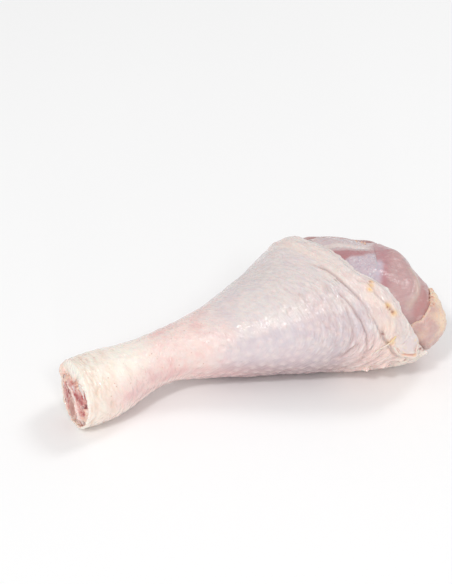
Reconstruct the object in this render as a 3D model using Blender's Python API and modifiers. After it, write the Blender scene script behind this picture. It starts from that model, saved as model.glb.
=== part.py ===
"""A raw turkey drumstick lying on its side: the ankle points to -X and the meaty knee end to +X.

The skin is a sleeve that was cut off on a slant, so that the meat of the knee end shows past it.
Inside it four muscles lie round the shin bone like the slices of a pie, each with its own rounded
end, and the bone ends in the white cartilage of the knee. Towards the ankle the muscles give way to
a core of sinew and fat that tendons run through, and all of them show at the cut. A flap of skin
fat cups the knee end from below.

Angles go round the leg's own axis: 0 is the near side (-Y), 90 the top, 180 the far side and 270
the underside. Metres, +Z up, with the origin under the middle of the leg, on what it lies on.
"""

import bmesh
import bpy
import numpy as np
from mathutils import Vector

MM = 0.001

# The outer form, one row for each station along the leg, in millimetres: distance from the ankle,
# middle of the section (y, z), its reach to the near side, the far side, the top and the bottom,
# and how far the section leans along the leg for each millimetre towards the near side and the top.
STATIONS = (
    (1.5, -4.0, 24.0, 21, 18.5, 19, 24.3, 0.11, 0.07),
    (14, -1.0, 20.8, 22, 21, 20, 22.3, 0.15, -0.06),
    (26, 0.5, 21.5, 21, 20, 18.5, 20.8, 0.14, -0.04),
    (38, 2.0, 22.4, 17.9, 18, 16.3, 18.8, 0.10, -0.02),
    (50, 3.0, 24.0, 15.5, 17, 15.7, 17, 0.05, -0.01),
    (62, 4.0, 25.4, 14.8, 17, 16.1, 16.3, 0.0, 0.0),
    (88, 6.0, 26.4, 21.6, 20, 18.7, 21, 0.0, 0.0),
    (118, 6.0, 30.4, 33.2, 31.3, 26.7, 29.8, 0.0, 0.0),
    (146, 4.0, 34.7, 43.8, 45.2, 35, 36, 0.0, 0.0),
    (172, -0.8, 36.4, 49.7, 49.3, 37.3, 38.5, 0.0, 0.0),
    (196, -4.4, 37.6, 51.8, 44.5, 33, 37.6, 0.03, 0.0),
    (212, -5.0, 38.0, 45.5, 36.5, 27.5, 32.5, 0.06, -0.05),
    (222, -5.0, 36.0, 35, 26.5, 17, 22, 0.08, -0.10),
    (227, -6.0, 34.0, 18, 14, 8, 11, 0.08, -0.10),
)
SQUARENESS_ABOVE = 2.15
SQUARENESS_BELOW = 1.9
MOST_SLANT = 3.0
FLOOR_SOFTNESS = 1.2
FLOOR_TRIM = 0.2
MIDDLE_X = 0.11282
MIDDLE_Y = -0.00368

# Skin: its wall, and where its knee rim runs, as (angle, distance from the ankle) pairs.
SKIN_WALL = 1.8
SKIN_COLUMNS = 44
SKIN_ROWS = 32
SKIN_RIM = (
    (-180, 176), (-145, 194), (-110, 204), (-70, 206), (-40, 205), (-18, 200), (-3, 196),
    (8, 194), (20, 190), (36, 187), (50, 182), (60, 175), (80, 171), (102, 167), (122, 161),
    (146, 158), (165, 164), (180, 176),
)
ANKLE_RINGS = ((9, 0.7, 2.0), (16, 0.9, 2.4), (25, 0.8, 2.8), (34, 0.5, 3.0))
RIM_FOLDS = ((9, 0.8, 2.5), (18, 1.1, 3.0), (28, 0.8, 3.5))

# Muscles: where each of the four parting lines runs, as (distance, angle) pairs.
NEAR_TOP_LINE = ((67, 60), (150, 50), (172, 46), (182, 52), (189, 70), (196, 96), (204, 120), (227, 128))
TOP_FAR_LINE = ((67, 130), (196, 129), (204, 130), (227, 133))
FAR_UNDER_LINE = ((67, 205), (227, 205))
UNDER_NEAR_LINE = ((67, 285), (227, 288))
PARTING = 0.45
MEAT_UNDER_SKIN = 2.6
MEAT_IN_THE_OPEN = 0.8
GROOVE_DEPTH = 3.4
GROOVE_WIDTH = 5.0
LOFT_STEPS = (*range(67, 151, 14), *range(151, 226, 6))

# Bone: radii along the leg as (distance, near-far radius, up-down radius).
BONE = ((2.0, 8.0, 9.0), (12, 8.2, 8.8), (30, 6.6, 6.4), (67, 6.0, 6.0), (140, 6.6, 6.6),
        (180, 9.0, 8.5), (196, 13.0, 12.0), (205, 15.5, 14.0))
BONE_DROP = 3.0
BONE_GAP = 0.6
CARTILAGE_START = 205.4
CARTILAGE_LENGTH = 17.0
CARTILAGE_NOTCH = 3.2
CARTILAGE_TAPER = 0.9

# Ankle: the core of sinew and fat, the flat tendon beside the bone and two round ones.
CORE_START = 2.7
CORE_END = 66.6
CORE_GAP = 1.2
STRAP_PLACE = 0.64
STRAP_THICKNESS = 2.6
STRAP_REACH = (-66, 62)
CORD_TENDONS = (("tendon_front", 118, 0.66, 2.0), ("tendon_back", 196, 0.66, 2.2))
CHANNEL_GAP = 0.35
TENDON_STANDS_OUT = 0.8
OVERRUN = 3.0

# Fat flap: the sheet of fatty skin that cups the knee end from below.
FLAP_WALL = 3.0
FLAP_GAP = 1.0
FLAP_END_GAP = 2.4
FLAP_TUCK = 7.0
FLAP_END = 223.5
FLAP_LOW_EDGE = -112.0
FLAP_HIGH_EDGE = ((180, 8), (193, 12), (201, 15), (206, 20), (210, 26), (214, 38), (226, 44))


def smooth_curve(at, points):
    """Value of a smooth curve through (place, value, ...) rows; the curve has no overshoot to speak of."""
    rows = np.asarray(points, float)
    places, values = rows[:, 0], rows[:, 1:]
    spans = np.diff(places)
    slopes = np.diff(values, axis=0) / spans[:, None]
    tangents = np.zeros_like(values)
    weights = (spans[:-1] + spans[1:])[:, None]
    tangents[1:-1] = (slopes[:-1] * spans[1:, None] + slopes[1:] * spans[:-1, None]) / weights
    tangents[0], tangents[-1] = slopes[0], slopes[-1]
    at = np.asarray(at, float)
    i = np.clip(np.searchsorted(places, at, side="right") - 1, 0, len(places) - 2)
    span = spans[i][..., None]
    t = ((at - places[i]) / spans[i])[..., None]
    start, end = values[i], values[i + 1]
    rise = span * (t * (1 - t) ** 2 * tangents[i] - t * t * (1 - t) * tangents[i + 1])
    found = (1 + 2 * t) * (1 - t) ** 2 * start + t * t * (3 - 2 * t) * end + rise
    return found[..., 0] if found.shape[-1] == 1 else found


def step(value, low, high):
    """0 below low, 1 above high, with a soft rise between them."""
    t = np.clip((value - low) / (high - low), 0.0, 1.0)
    return t * t * (3 - 2 * t)


def bump(distance, width):
    return np.exp(-((distance / width) ** 2))


def section(along):
    """Middle (y, z), the four reaches and the two leans of the leg's section."""
    return smooth_curve(along, STATIONS)


def reach(along, angle):
    """Distance from the section's middle to the outer form."""
    rows = section(along)
    cosine, sine = np.cos(angle), np.sin(angle)
    side = np.where(cosine > 0, rows[..., 2], rows[..., 3])
    height = np.where(sine > 0, rows[..., 4], rows[..., 5])
    power = np.where(sine > 0, SQUARENESS_ABOVE, SQUARENESS_BELOW)
    return (np.abs(cosine / side) ** power + np.abs(sine / height) ** power) ** (-1 / power)


def slant(along, angle):
    """How much longer a depth is across the section than square to the outer form."""
    rise = reach(along + 0.5, angle) - reach(along - 0.5, angle)
    shift = section(along + 0.5)[..., :2] - section(along - 0.5)[..., :2]
    rise = rise - shift[..., 0] * np.cos(angle) + shift[..., 1] * np.sin(angle)
    return np.minimum(np.sqrt(1 + rise**2), MOST_SLANT)


def place(along, angle, radius, lift=0.0):
    """Point of the leg in metres; lift is how high a layer under the skin lies over the ground."""
    rows = section(along)
    out_y, out_z = -radius * np.cos(angle), radius * np.sin(angle)
    x = along - rows[..., 6] * out_y + rows[..., 7] * out_z
    y = rows[..., 0] + out_y
    z = rows[..., 1] + out_z - lift
    z = lift + np.maximum(0.5 * (z + np.sqrt(z * z + FLOOR_SOFTNESS**2)) - FLOOR_TRIM, 0)
    return np.stack([x * MM - MIDDLE_X, y * MM - MIDDLE_Y, z * MM], axis=-1)


def skin_rim(angle):
    """Where the skin ends at the knee, for an angle in radians."""
    turned = (np.degrees(angle) + 180) % 360 - 180
    return smooth_curve(turned, SKIN_RIM)


def flap_cover(along, angle):
    """1 where the fat flap lies over the meat, and 0 well clear of it."""
    turned = (np.degrees(angle) + 180) % 360 - 180
    high = smooth_curve(along, FLAP_HIGH_EDGE)
    across = step(turned, FLAP_LOW_EDGE - 12, FLAP_LOW_EDGE - 4) * (1 - step(turned, high + 10, high + 20))
    return across * step(along, skin_rim(angle) - FLAP_TUCK - 9, skin_rim(angle) - FLAP_TUCK - 2)


def flap_depth(along, angle):
    """How deep the fat flap's outer face lies: under the skin where it is tucked in."""
    return (SKIN_WALL + 0.5) * (1 - step(along, skin_rim(angle) + 1, skin_rim(angle) + 9))


def meat_depth(along, angle):
    """How deep the meat's surface lies under the outer form."""
    bare = step(along, skin_rim(angle) + 5, skin_rim(angle) + 14)
    plain = MEAT_UNDER_SKIN + (MEAT_IN_THE_OPEN - MEAT_UNDER_SKIN) * bare
    covered = flap_depth(along, angle) + FLAP_WALL + FLAP_GAP + FLAP_END_GAP * step(along, 208, 218)
    return plain + (np.maximum(covered, plain) - plain) * flap_cover(along, angle)


def material(name, colour, roughness):
    made = bpy.data.materials.new(name)
    made.use_nodes = True
    shader = made.node_tree.nodes["Principled BSDF"]
    shader.inputs["Base Color"].default_value = (*colour, 1.0)
    shader.inputs["Roughness"].default_value = roughness
    shader.inputs["Metallic"].default_value = 0.0
    made.diffuse_color = (*colour, 1.0)
    return made


def collection(name, hidden=False):
    made = bpy.data.collections.new(name)
    bpy.context.scene.collection.children.link(made)
    made.hide_render = hidden
    return made


def add_object(name, mesh, into, finish=None):
    made = bpy.data.objects.new(name, mesh)
    into.objects.link(made)
    if finish:
        mesh.materials.append(finish)
    mesh.shade_smooth()
    return made


def grid_mesh(name, points, wrap):
    """Open surface through a grid of points; wrap closes it round its second direction."""
    rows, columns = points.shape[:2]
    shape = bmesh.new()
    verts = [[shape.verts.new(Vector(point)) for point in row] for row in points]
    for i in range(rows - 1):
        for j in range(columns if wrap else columns - 1):
            k = (j + 1) % columns
            shape.faces.new((verts[i][j], verts[i + 1][j], verts[i + 1][k], verts[i][k]))
    mesh = bpy.data.meshes.new(name)
    shape.to_mesh(mesh)
    shape.free()
    return mesh


def loft_mesh(name, loops):
    """Closed solid through a row of loops with as many points each, flat at both ends."""
    mesh = grid_mesh(name, loops, wrap=True)
    shape = bmesh.new()
    shape.from_mesh(mesh)
    shape.verts.ensure_lookup_table()
    count = loops.shape[1]
    shape.faces.new([shape.verts[j] for j in range(count)])
    shape.faces.new([shape.verts[len(loops) * count - 1 - j] for j in range(count)])
    bmesh.ops.recalc_face_normals(shape, faces=shape.faces)
    shape.to_mesh(mesh)
    shape.free()
    return mesh


def skin_relief(along, angle):
    """Height of the skin's folds: rings at the ankle, folds along the knee rim, soft lumps on the belly."""
    height = np.zeros_like(along)
    for at, depth, width in ANKLE_RINGS:
        wander = 1.5 * np.sin(2 * angle + at)
        height -= depth * bump(along - at - wander, width) * (0.6 + 0.4 * np.cos(angle - 0.4))
    to_rim = skin_rim(angle) - along
    near = step(np.cos(angle - 0.45), -0.1, 0.6)
    for at, depth, width in RIM_FOLDS:
        wander = 2.0 * np.sin(3 * angle + at)
        height += near * depth * bump(to_rim - at - wander, width)
    lumps = np.sin(along / 8.5 + 2 * np.sin(angle)) * np.sin(3.3 * angle + along / 21)
    return height + 0.35 * (1 + lumps) * step(along, 60, 90) * step(to_rim, 4, 20)


def make_skin(into, finish):
    angles = np.linspace(0, 2 * np.pi, SKIN_COLUMNS, endpoint=False)
    share = np.linspace(0, 1, SKIN_ROWS)
    share = share + 0.09 * np.sin(2 * np.pi * share) / 2
    start = STATIONS[0][0]
    across, down = np.meshgrid(angles, share)
    along = start + (skin_rim(across) - start) * down
    radius = reach(along, across) + skin_relief(along, across)
    radius -= 1.6 * bump(along - start, 1.5)
    lip = step(along - skin_rim(across), -9, 0) * step(np.cos(across + 0.2), 0.7, 1.0)
    radius += 1.8 * lip
    sleeve = add_object("skin", grid_mesh("skin", place(along, across, radius), wrap=True), into, finish)
    wall = sleeve.modifiers.new("wall", "SOLIDIFY")
    wall.thickness = SKIN_WALL * MM
    wall.offset = -1.0
    return sleeve


def bone_radius(along):
    """Largest radius of the bone, or of the cartilage that rounds off its end."""
    rows = smooth_curve(np.minimum(along, BONE[-1][0]), BONE)
    share = np.clip((along - CARTILAGE_START) / CARTILAGE_LENGTH, 0, 1)
    return rows.max(axis=-1) * np.sqrt(1 - CARTILAGE_TAPER * share**4)


def muscle_loops(first_line, second_line, end, blunt, arc_points):
    """Loops of one slice of meat, between two parting lines and out to its rounded end."""
    rounded = end - blunt * (1 - np.sin(np.linspace(0, np.pi / 2, 5)))
    alongs = [float(along) for along in LOFT_STEPS if along < rounded[0] - 1] + list(rounded)
    loops = []
    for along in alongs:
        turn = max(0.0, (along - (end - blunt)) / blunt)
        shrink = blunt * (1 - np.sqrt(max(0.0, 1 - turn**2)))
        first = np.radians(smooth_curve(along, first_line))
        second = np.radians(smooth_curve(along, second_line))
        inner = bone_radius(along) + BONE_GAP + 0.3 * shrink
        outer = reach(along, np.linspace(first, second, arc_points)) - 2
        edge = (PARTING + 0.35 * shrink) / outer
        angles = np.linspace(first + edge[0], second - edge[-1], arc_points)
        spread = np.minimum(angles - first, second - angles) * outer
        groove = GROOVE_DEPTH * step(along, 150, 190) * bump(spread, GROOVE_WIDTH)
        depth = meat_depth(along, angles)
        outer = reach(along, angles) - (depth + groove) * slant(along, angles) - shrink
        outer = np.maximum(outer, inner + 1.2)
        inward = (PARTING + 0.35 * shrink) / inner
        back = np.linspace(second - inward, first + inward, arc_points - 2)
        turns = np.concatenate([angles, back])
        radii = np.concatenate([outer, np.full(len(back), inner)])
        lifts = np.concatenate([depth, np.full(len(back), depth.max())])
        loops.append(place(np.full(len(turns), along), turns, radii, lifts))
    return np.array(loops)


def make_muscle(name, lines, end, blunt, arc_points, into, finish):
    loops = muscle_loops(*lines, end, blunt, arc_points)
    return add_object(name, loft_mesh(name, loops), into, finish)


def bone_loops(extra, start, sides=16):
    """Loops of the shin bone, made fatter by extra."""
    rows = np.array(BONE)
    ankle = rows[(rows[:, 0] > start) & (rows[:, 0] < LOFT_STEPS[0]), 0]
    knee = [along for along in LOFT_STEPS if along < rows[-1, 0]]
    alongs = np.concatenate([[start], ankle, knee, [rows[-1, 0]]])
    turns = np.linspace(0, 2 * np.pi, sides, endpoint=False)
    loops = []
    for along in alongs:
        near_far, up_down = smooth_curve(max(along, BONE[0][0]), BONE) + extra
        middle = BONE_DROP * (1 - step(along, 20, 66))
        out_y = near_far * np.cos(turns)
        out_z = up_down * np.sin(turns) - middle
        loops.append(place(np.full(sides, along), np.arctan2(out_z, out_y), np.hypot(out_y, out_z)))
    return np.array(loops)


def make_bone(into, finish):
    return add_object("shin_bone", loft_mesh("shin_bone", bone_loops(0.0, BONE[0][0])), into, finish)


def make_cartilage(into, finish):
    """The knee head of the bone: two low humps with a notch between them."""
    sides = 20
    turns = np.linspace(0, 2 * np.pi, sides, endpoint=False)
    loops = []
    for share in np.sin(np.linspace(0, np.pi / 2, 8)):
        wide = BONE[-1][1] * np.sqrt(1 - CARTILAGE_TAPER * share**4)
        tall = BONE[-1][2] * np.sqrt(1 - CARTILAGE_TAPER * share**4)
        notch = CARTILAGE_NOTCH * share * bump(np.cos(turns), 0.35)
        out_y = (wide - 0.3 * notch) * np.cos(turns)
        out_z = (tall - notch) * np.sin(turns)
        along = CARTILAGE_START + CARTILAGE_LENGTH * share - 0.6 * notch
        loops.append(place(along, np.arctan2(out_z, out_y), np.hypot(out_y, out_z)))
    return add_object("joint_cartilage", loft_mesh("joint_cartilage", np.array(loops)), into, finish)


def strap_loops(extra, overrun=0.0):
    """Loops of the flat tendon, which lies curved round the near side of the bone."""
    alongs = np.linspace(CORE_START - TENDON_STANDS_OUT, CORE_END, 8)
    if overrun:
        alongs = np.concatenate([[alongs[0] - overrun], alongs, [alongs[-1] + overrun]])
    low, high = np.radians(STRAP_REACH)
    taper = 1 - 0.45 * np.linspace(-1, 1, 7) ** 2
    thin = STRAP_THICKNESS / 2 * taper + extra
    loops = []
    for along in alongs:
        middle = STRAP_PLACE * reach(along, np.linspace(low, high, 7))
        margin = extra / middle[0]
        turns = np.linspace(low - margin, high + margin, 7)
        angles = np.concatenate([turns, turns[::-1]])
        radii = np.concatenate([middle + thin, (middle - thin)[::-1]])
        loops.append(place(np.full(len(angles), along), angles, radii))
    return np.array(loops)


def cord_loops(angle, share, radius, overrun=0.0, sides=10):
    """Loops of a round tendon that runs along the leg, at a share of the way out to the skin."""
    alongs = np.linspace(CORE_START - TENDON_STANDS_OUT, CORE_END, 8)
    if overrun:
        alongs = np.concatenate([[alongs[0] - overrun], alongs, [alongs[-1] + overrun]])
    turns = np.linspace(0, 2 * np.pi, sides, endpoint=False)
    angle = np.radians(angle)
    loops = []
    for along in alongs:
        distance = share * reach(along, angle)
        out_y = distance * np.cos(angle) + radius * np.cos(turns)
        out_z = distance * np.sin(angle) + radius * np.sin(turns)
        loops.append(place(np.full(sides, along), np.arctan2(out_z, out_y), np.hypot(out_y, out_z)))
    return np.array(loops)


def core_loops(columns=30):
    turns = np.linspace(0, 2 * np.pi, columns, endpoint=False)
    loops = []
    for along in np.linspace(CORE_START, CORE_END, 12):
        radii = reach(along, turns) - SKIN_WALL - CORE_GAP - bump(along - STATIONS[0][0], 3.0)
        loops.append(place(np.full(columns, along), turns, radii, lift=SKIN_WALL + CORE_GAP))
    return np.array(loops)


def cut_away(target, cutter_mesh, cutters):
    """Cuts a channel in target, in the form of the cutter."""
    cutter = add_object("cut_" + cutter_mesh.name, cutter_mesh, cutters)
    cutter.hide_render = True
    cutter.display_type = "WIRE"
    channel = target.modifiers.new(cutter.name, "BOOLEAN")
    channel.operation = "DIFFERENCE"
    channel.object = cutter


def make_ankle(into, cutters, core_finish, tendon_finish):
    core = add_object("ankle_core", loft_mesh("ankle_core", core_loops()), into, core_finish)
    cut_away(core, loft_mesh("bone", bone_loops(BONE_GAP, CORE_START - OVERRUN)), cutters)
    add_object("tendon_strap", loft_mesh("tendon_strap", strap_loops(0.0)), into, tendon_finish)
    cut_away(core, loft_mesh("strap", strap_loops(CHANNEL_GAP, OVERRUN)), cutters)
    for name, angle, share, radius in CORD_TENDONS:
        loops = cord_loops(angle, share, radius)
        add_object(name, loft_mesh(name, loops), into, tendon_finish)
        cut_away(core, loft_mesh(name, cord_loops(angle, share, radius + CHANNEL_GAP, OVERRUN)), cutters)
    return core


def make_flap(into, finish):
    """Sheet of fatty skin under the knee end, tucked in under the rim of the skin."""
    rows, columns = 12, 20
    loops = []
    for share in np.linspace(0, 1, rows):
        v = np.linspace(0, 1, columns)
        low = np.radians(FLAP_LOW_EDGE)
        guess = np.radians(FLAP_LOW_EDGE + (20 - FLAP_LOW_EDGE) * v)
        for _ in range(3):
            start = skin_rim(guess) - FLAP_TUCK
            along = start + (FLAP_END - start) * share
            high = np.radians(smooth_curve(along, FLAP_HIGH_EDGE))
            guess = low + (high - low) * v
        depth = flap_depth(along, guess)
        radius = reach(along, guess) - depth * slant(along, guess)
        loops.append(place(along, guess, radius, lift=depth))
    made = add_object("fat_flap", grid_mesh("fat_flap", np.array(loops), wrap=False), into, finish)
    wall = made.modifiers.new("wall", "SOLIDIFY")
    wall.thickness = FLAP_WALL * MM
    wall.offset = -1.0
    return made


def main():
    for old in list(bpy.data.objects):
        bpy.data.objects.remove(old, do_unlink=True)
    parts = collection("turkey_drumstick")
    cutters = collection("cutters", hidden=True)

    skin = material("pale_skin", (0.83, 0.72, 0.67), 0.38)
    meat = material("pink_meat", (0.52, 0.27, 0.26), 0.32)
    dark_meat = material("dark_meat", (0.36, 0.12, 0.12), 0.34)
    bone = material("bone", (0.72, 0.62, 0.52), 0.5)
    cartilage = material("cartilage", (0.78, 0.82, 0.86), 0.25)
    tendon = material("tendon", (0.82, 0.78, 0.74), 0.35)
    sinew = material("sinew_and_fat", (0.72, 0.42, 0.36), 0.4)
    fat = material("yellow_fat", (0.85, 0.66, 0.42), 0.4)

    make_skin(parts, skin)
    near_start = tuple((along, angle - 360) for along, angle in UNDER_NEAR_LINE)
    make_muscle("near_muscle", (near_start, NEAR_TOP_LINE), 222.0, 7.0, 20, parts, meat)
    make_muscle("top_muscle", (NEAR_TOP_LINE, TOP_FAR_LINE), 201.0, 6.0, 11, parts, meat)
    make_muscle("far_muscle", (TOP_FAR_LINE, FAR_UNDER_LINE), 212.0, 7.0, 11, parts, dark_meat)
    make_muscle("under_muscle", (FAR_UNDER_LINE, UNDER_NEAR_LINE), 215.0, 7.0, 11, parts, dark_meat)
    make_bone(parts, bone)
    make_cartilage(parts, cartilage)
    make_ankle(parts, cutters, sinew, tendon)
    make_flap(parts, fat)


main()
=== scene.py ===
"""Looks of a raw turkey drumstick lying on its side, ankle towards -X and knee end towards +X.

Angles go round the leg's own axis: 0 is the near side (-Y), 90 the top, 180 the far side and -90
the underside. Sizes are in millimetres on the leg until place() turns them into metres.
"""

import math
from itertools import product

import bmesh
import bpy
import numpy as np
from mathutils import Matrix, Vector


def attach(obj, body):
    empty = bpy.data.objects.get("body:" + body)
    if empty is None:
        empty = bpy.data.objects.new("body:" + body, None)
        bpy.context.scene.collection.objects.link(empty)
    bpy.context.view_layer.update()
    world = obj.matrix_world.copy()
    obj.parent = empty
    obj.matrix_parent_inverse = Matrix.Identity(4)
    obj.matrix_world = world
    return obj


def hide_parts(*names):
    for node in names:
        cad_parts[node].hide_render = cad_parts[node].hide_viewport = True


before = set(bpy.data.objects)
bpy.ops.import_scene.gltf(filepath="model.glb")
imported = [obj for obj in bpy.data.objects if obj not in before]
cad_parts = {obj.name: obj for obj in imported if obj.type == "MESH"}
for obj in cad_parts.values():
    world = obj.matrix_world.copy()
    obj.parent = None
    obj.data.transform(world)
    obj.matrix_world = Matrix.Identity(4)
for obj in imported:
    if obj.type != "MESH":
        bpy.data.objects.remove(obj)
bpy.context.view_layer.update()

MM = 0.001

# The outer form: distance from the ankle, middle of the section (y, z), its reach to the near side,
# far side, top and bottom, and how far it leans along the leg towards the near side and the top.
STATIONS = (
    (1.5, -4.0, 24.0, 21, 18.5, 19, 24.3, 0.11, 0.07),
    (14, -1.0, 20.8, 22, 21, 20, 22.3, 0.15, -0.06),
    (26, 0.5, 21.5, 21, 20, 18.5, 20.8, 0.14, -0.04),
    (38, 2.0, 22.4, 17.9, 18, 16.3, 18.8, 0.10, -0.02),
    (50, 3.0, 24.0, 15.5, 17, 15.7, 17, 0.05, -0.01),
    (62, 4.0, 25.4, 14.8, 17, 16.1, 16.3, 0.0, 0.0),
    (88, 6.0, 26.4, 21.6, 20, 18.7, 21, 0.0, 0.0),
    (118, 6.0, 30.4, 33.2, 31.3, 26.7, 29.8, 0.0, 0.0),
    (146, 4.0, 34.7, 43.8, 45.2, 35, 36, 0.0, 0.0),
    (172, -0.8, 36.4, 49.7, 49.3, 37.3, 38.5, 0.0, 0.0),
    (196, -4.4, 37.6, 51.8, 44.5, 33, 37.6, 0.03, 0.0),
    (212, -5.0, 38.0, 45.5, 36.5, 27.5, 32.5, 0.06, -0.05),
    (222, -5.0, 36.0, 35, 26.5, 17, 22, 0.08, -0.10),
    (227, -6.0, 34.0, 18, 14, 8, 11, 0.08, -0.10),
)
SQUARENESS_ABOVE = 2.15
SQUARENESS_BELOW = 1.9
MOST_SLANT = 3.0
FLOOR_SOFTNESS = 1.2
FLOOR_TRIM = 0.2
MIDDLE_X = 0.11282
MIDDLE_Y = -0.00368

# The crown on the upper far side: how far it stands out from that form, as (distance, rise) points,
# the angle of its middle and how many degrees wide it is.
CROWN = (
    (100, 0), (112, -1.2), (124, -2.2), (136, 0), (145, 2.4), (153, 3.2), (162, 2.0), (174, 0),
    (185, -1.2), (193, -2.4), (201, -3.0), (210, -2.0), (220, -0.5), (227, 0),
)
CROWN_ANGLE = 124
CROWN_WIDTH = 26

# Skin: its wall, and where its knee rim runs, as (angle, distance from the ankle) pairs.
SKIN_WALL = 1.8
SKIN_RIM = (
    (-180, 176), (-145, 194), (-110, 204), (-70, 206), (-40, 205), (-18, 200), (-3, 196),
    (8, 194), (20, 190), (36, 187), (50, 182), (60, 175), (80, 171), (102, 167), (122, 161),
    (146, 158), (165, 164), (180, 176),
)
# How much further its ragged edge really reaches, its wall there, and how many columns and rows of
# points the skin, its rounded rim and the roll at the ankle have.
RIM_SHIFT = (
    (-180, 0), (-90, 0), (-50, -2), (-36, -2.5), (-28, -0.5), (-22, 3), (-18, 4.8), (-12, 4), (-5, 2),
    (0, 0.4), (6, -1), (12, -0.5), (20, 0), (180, 0),
)
RIM_WALL = 0.8
SKIN_COLUMNS = 372
SKIN_OUTER_ROWS = 226
SKIN_INNER_ROWS = 14
RIM_ROWS = 4
ROLL_ROWS = 13

# The skin rolled in at the cut ankle: its start, how far it stands out, the angle of the lobe where
# it stands out most, half its wall as (angle, millimetres) pairs, and the rings above it as
# (distance, depth, width).
ANKLE_START = 2.8
ANKLE_ROLL = 1.0
FAR_LOBE = 158
ANKLE_WALL = (
    (-180, 1.6), (-150, 1.0), (-60, 1.0), (10, 1.1), (45, 3.6), (90, 5.6), (135, 4.4), (165, 2.6),
    (180, 1.6),
)
ANKLE_RINGS = ((6, 0.5, 1.1), (10, 0.5, 1.1), (15, 0.45, 1.3), (23, 0.35, 1.6), (31, 0.25, 2.0))

# Muscles: where they start and where their rows of points get close, how far apart the rows are and
# how many round off the end, the parting lines as (distance, angle) pairs, and how deep the meat and
# the grooves between muscles lie.
MUSCLE_START = 67
CLOSE_ROWS = 148
FAR_SPACING = 9.0
CLOSE_SPACING = 1.1
END_ROWS = 12
NEAR_TOP_LINE = ((67, 60), (150, 50), (172, 46), (182, 52), (189, 70), (196, 96), (204, 120), (227, 128))
TOP_FAR_LINE = ((67, 130), (196, 129), (204, 130), (227, 133))
FAR_UNDER_LINE = ((67, 205), (227, 205))
UNDER_NEAR_LINE = ((67, 285), (227, 288))
PARTING = 0.02
MEAT_UNDER_SKIN = 2.5
MEAT_IN_THE_OPEN = 0.7
GROOVE_DEPTH = 0.08
GROOVE_WIDTH = 2.2

# Bone: distance, half its width and half its height; then the cartilage that rounds it off.
BONE = (
    (2.0, 8.0, 9.0), (12, 8.2, 8.8), (30, 6.6, 6.4), (67, 6.0, 6.0), (140, 6.6, 6.6), (180, 9.0, 8.5),
    (196, 13.0, 12.0), (205, 15.5, 14.0),
)
ANKLE_BONE_DROP = 12.0
CARTILAGE_START = 205.4
CARTILAGE_LENGTH = 17.0
CARTILAGE_NOTCH = 3.2
CARTILAGE_TAPER = 0.9

# Tissue and tendons in the ankle; a cord has a name, a node, an angle, a share of the way out and a
# radius.
CORE_START = 2.7
CORE_END = 66.6
CORE_GAP = 0.3
STRAP_PLACE = 0.64
STRAP_THICKNESS = 2.6
STRAP_REACH = (-66, 62)
CORD_TENDONS = (
    ("front_tendon", "tendon_front", 118, 0.66, 2.0),
    ("back_tendon", "tendon_back", 196, 0.66, 2.2),
)

# Flap of fatty skin under the knee end; its high edge is given as (distance, angle) pairs.
FLAP_WALL = 2.0
FLAP_GAP = 0.15
FLAP_END_GAP = 0.5
FLAP_TUCK = 7.0
FLAP_END = 224.0
FLAP_LOW_EDGE = -112.0
FLAP_HIGH_EDGE = ((180, 8), (193, 12), (201, 15), (206, 18), (210, 22), (214, 27), (218, 32), (226, 37))

# Camera and light: a softbox has a turn, a height, a size and a power.
CAMERA_TURN = -23.0
CAMERA_HEIGHT = 36.0
CAMERA_AIM = (-0.00539, 0.02330, 0.04917)
CAMERA_DISTANCE = 0.97333
CAMERA_LENS = 100.0
SENSOR_WIDTH = 36.0
SKY_STRENGTH = 0.6
SOFTBOX_DISTANCE = 2.6
SOFTBOX_AIM = (0, 0, 0.04)
SOFTBOXES = {
    "key_light": (-48, 50, 0.36, 18),
    "front_light": (-4, 42, 0.6, 7.5),
    "low_light": (-17, 8, 0.16, 3),
    "rear_light": (100, 55, 0.8, 12),
}


# ---------------------------------------------------------------- curves, steps and noise


def smooth_curve(at, points):
    """Value of a smooth curve through (place, value, ...) rows."""
    rows = np.asarray(points, float)
    places, values = rows[:, 0], rows[:, 1:]
    spans = np.diff(places)
    slopes = np.diff(values, axis=0) / spans[:, None]
    tangents = np.zeros_like(values)
    weights = (spans[:-1] + spans[1:])[:, None]
    tangents[1:-1] = (slopes[:-1] * spans[1:, None] + slopes[1:] * spans[:-1, None]) / weights
    tangents[0], tangents[-1] = slopes[0], slopes[-1]
    at = np.asarray(at, float)
    i = np.clip(np.searchsorted(places, at, side="right") - 1, 0, len(places) - 2)
    span = spans[i][..., None]
    t = ((at - places[i]) / spans[i])[..., None]
    start, end = values[i], values[i + 1]
    rise = span * (t * (1 - t) ** 2 * tangents[i] - t * t * (1 - t) * tangents[i + 1])
    found = (1 + 2 * t) * (1 - t) ** 2 * start + t * t * (3 - 2 * t) * end + rise
    return found[..., 0] if found.shape[-1] == 1 else found


def step(value, low, high):
    """0 below low, 1 above high, with a soft rise between them."""
    t = np.clip((value - low) / (high - low), 0.0, 1.0)
    return t * t * (3 - 2 * t)


def between(value, low, high, soft):
    """1 from low to high, and 0 further than soft outside them."""
    return step(value, low - soft, low) * (1 - step(value, high, high + soft))


def bump(distance, width):
    """1 at no distance, and nearly 0 from two widths on."""
    return np.exp(-((distance / width) ** 2))


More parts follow.
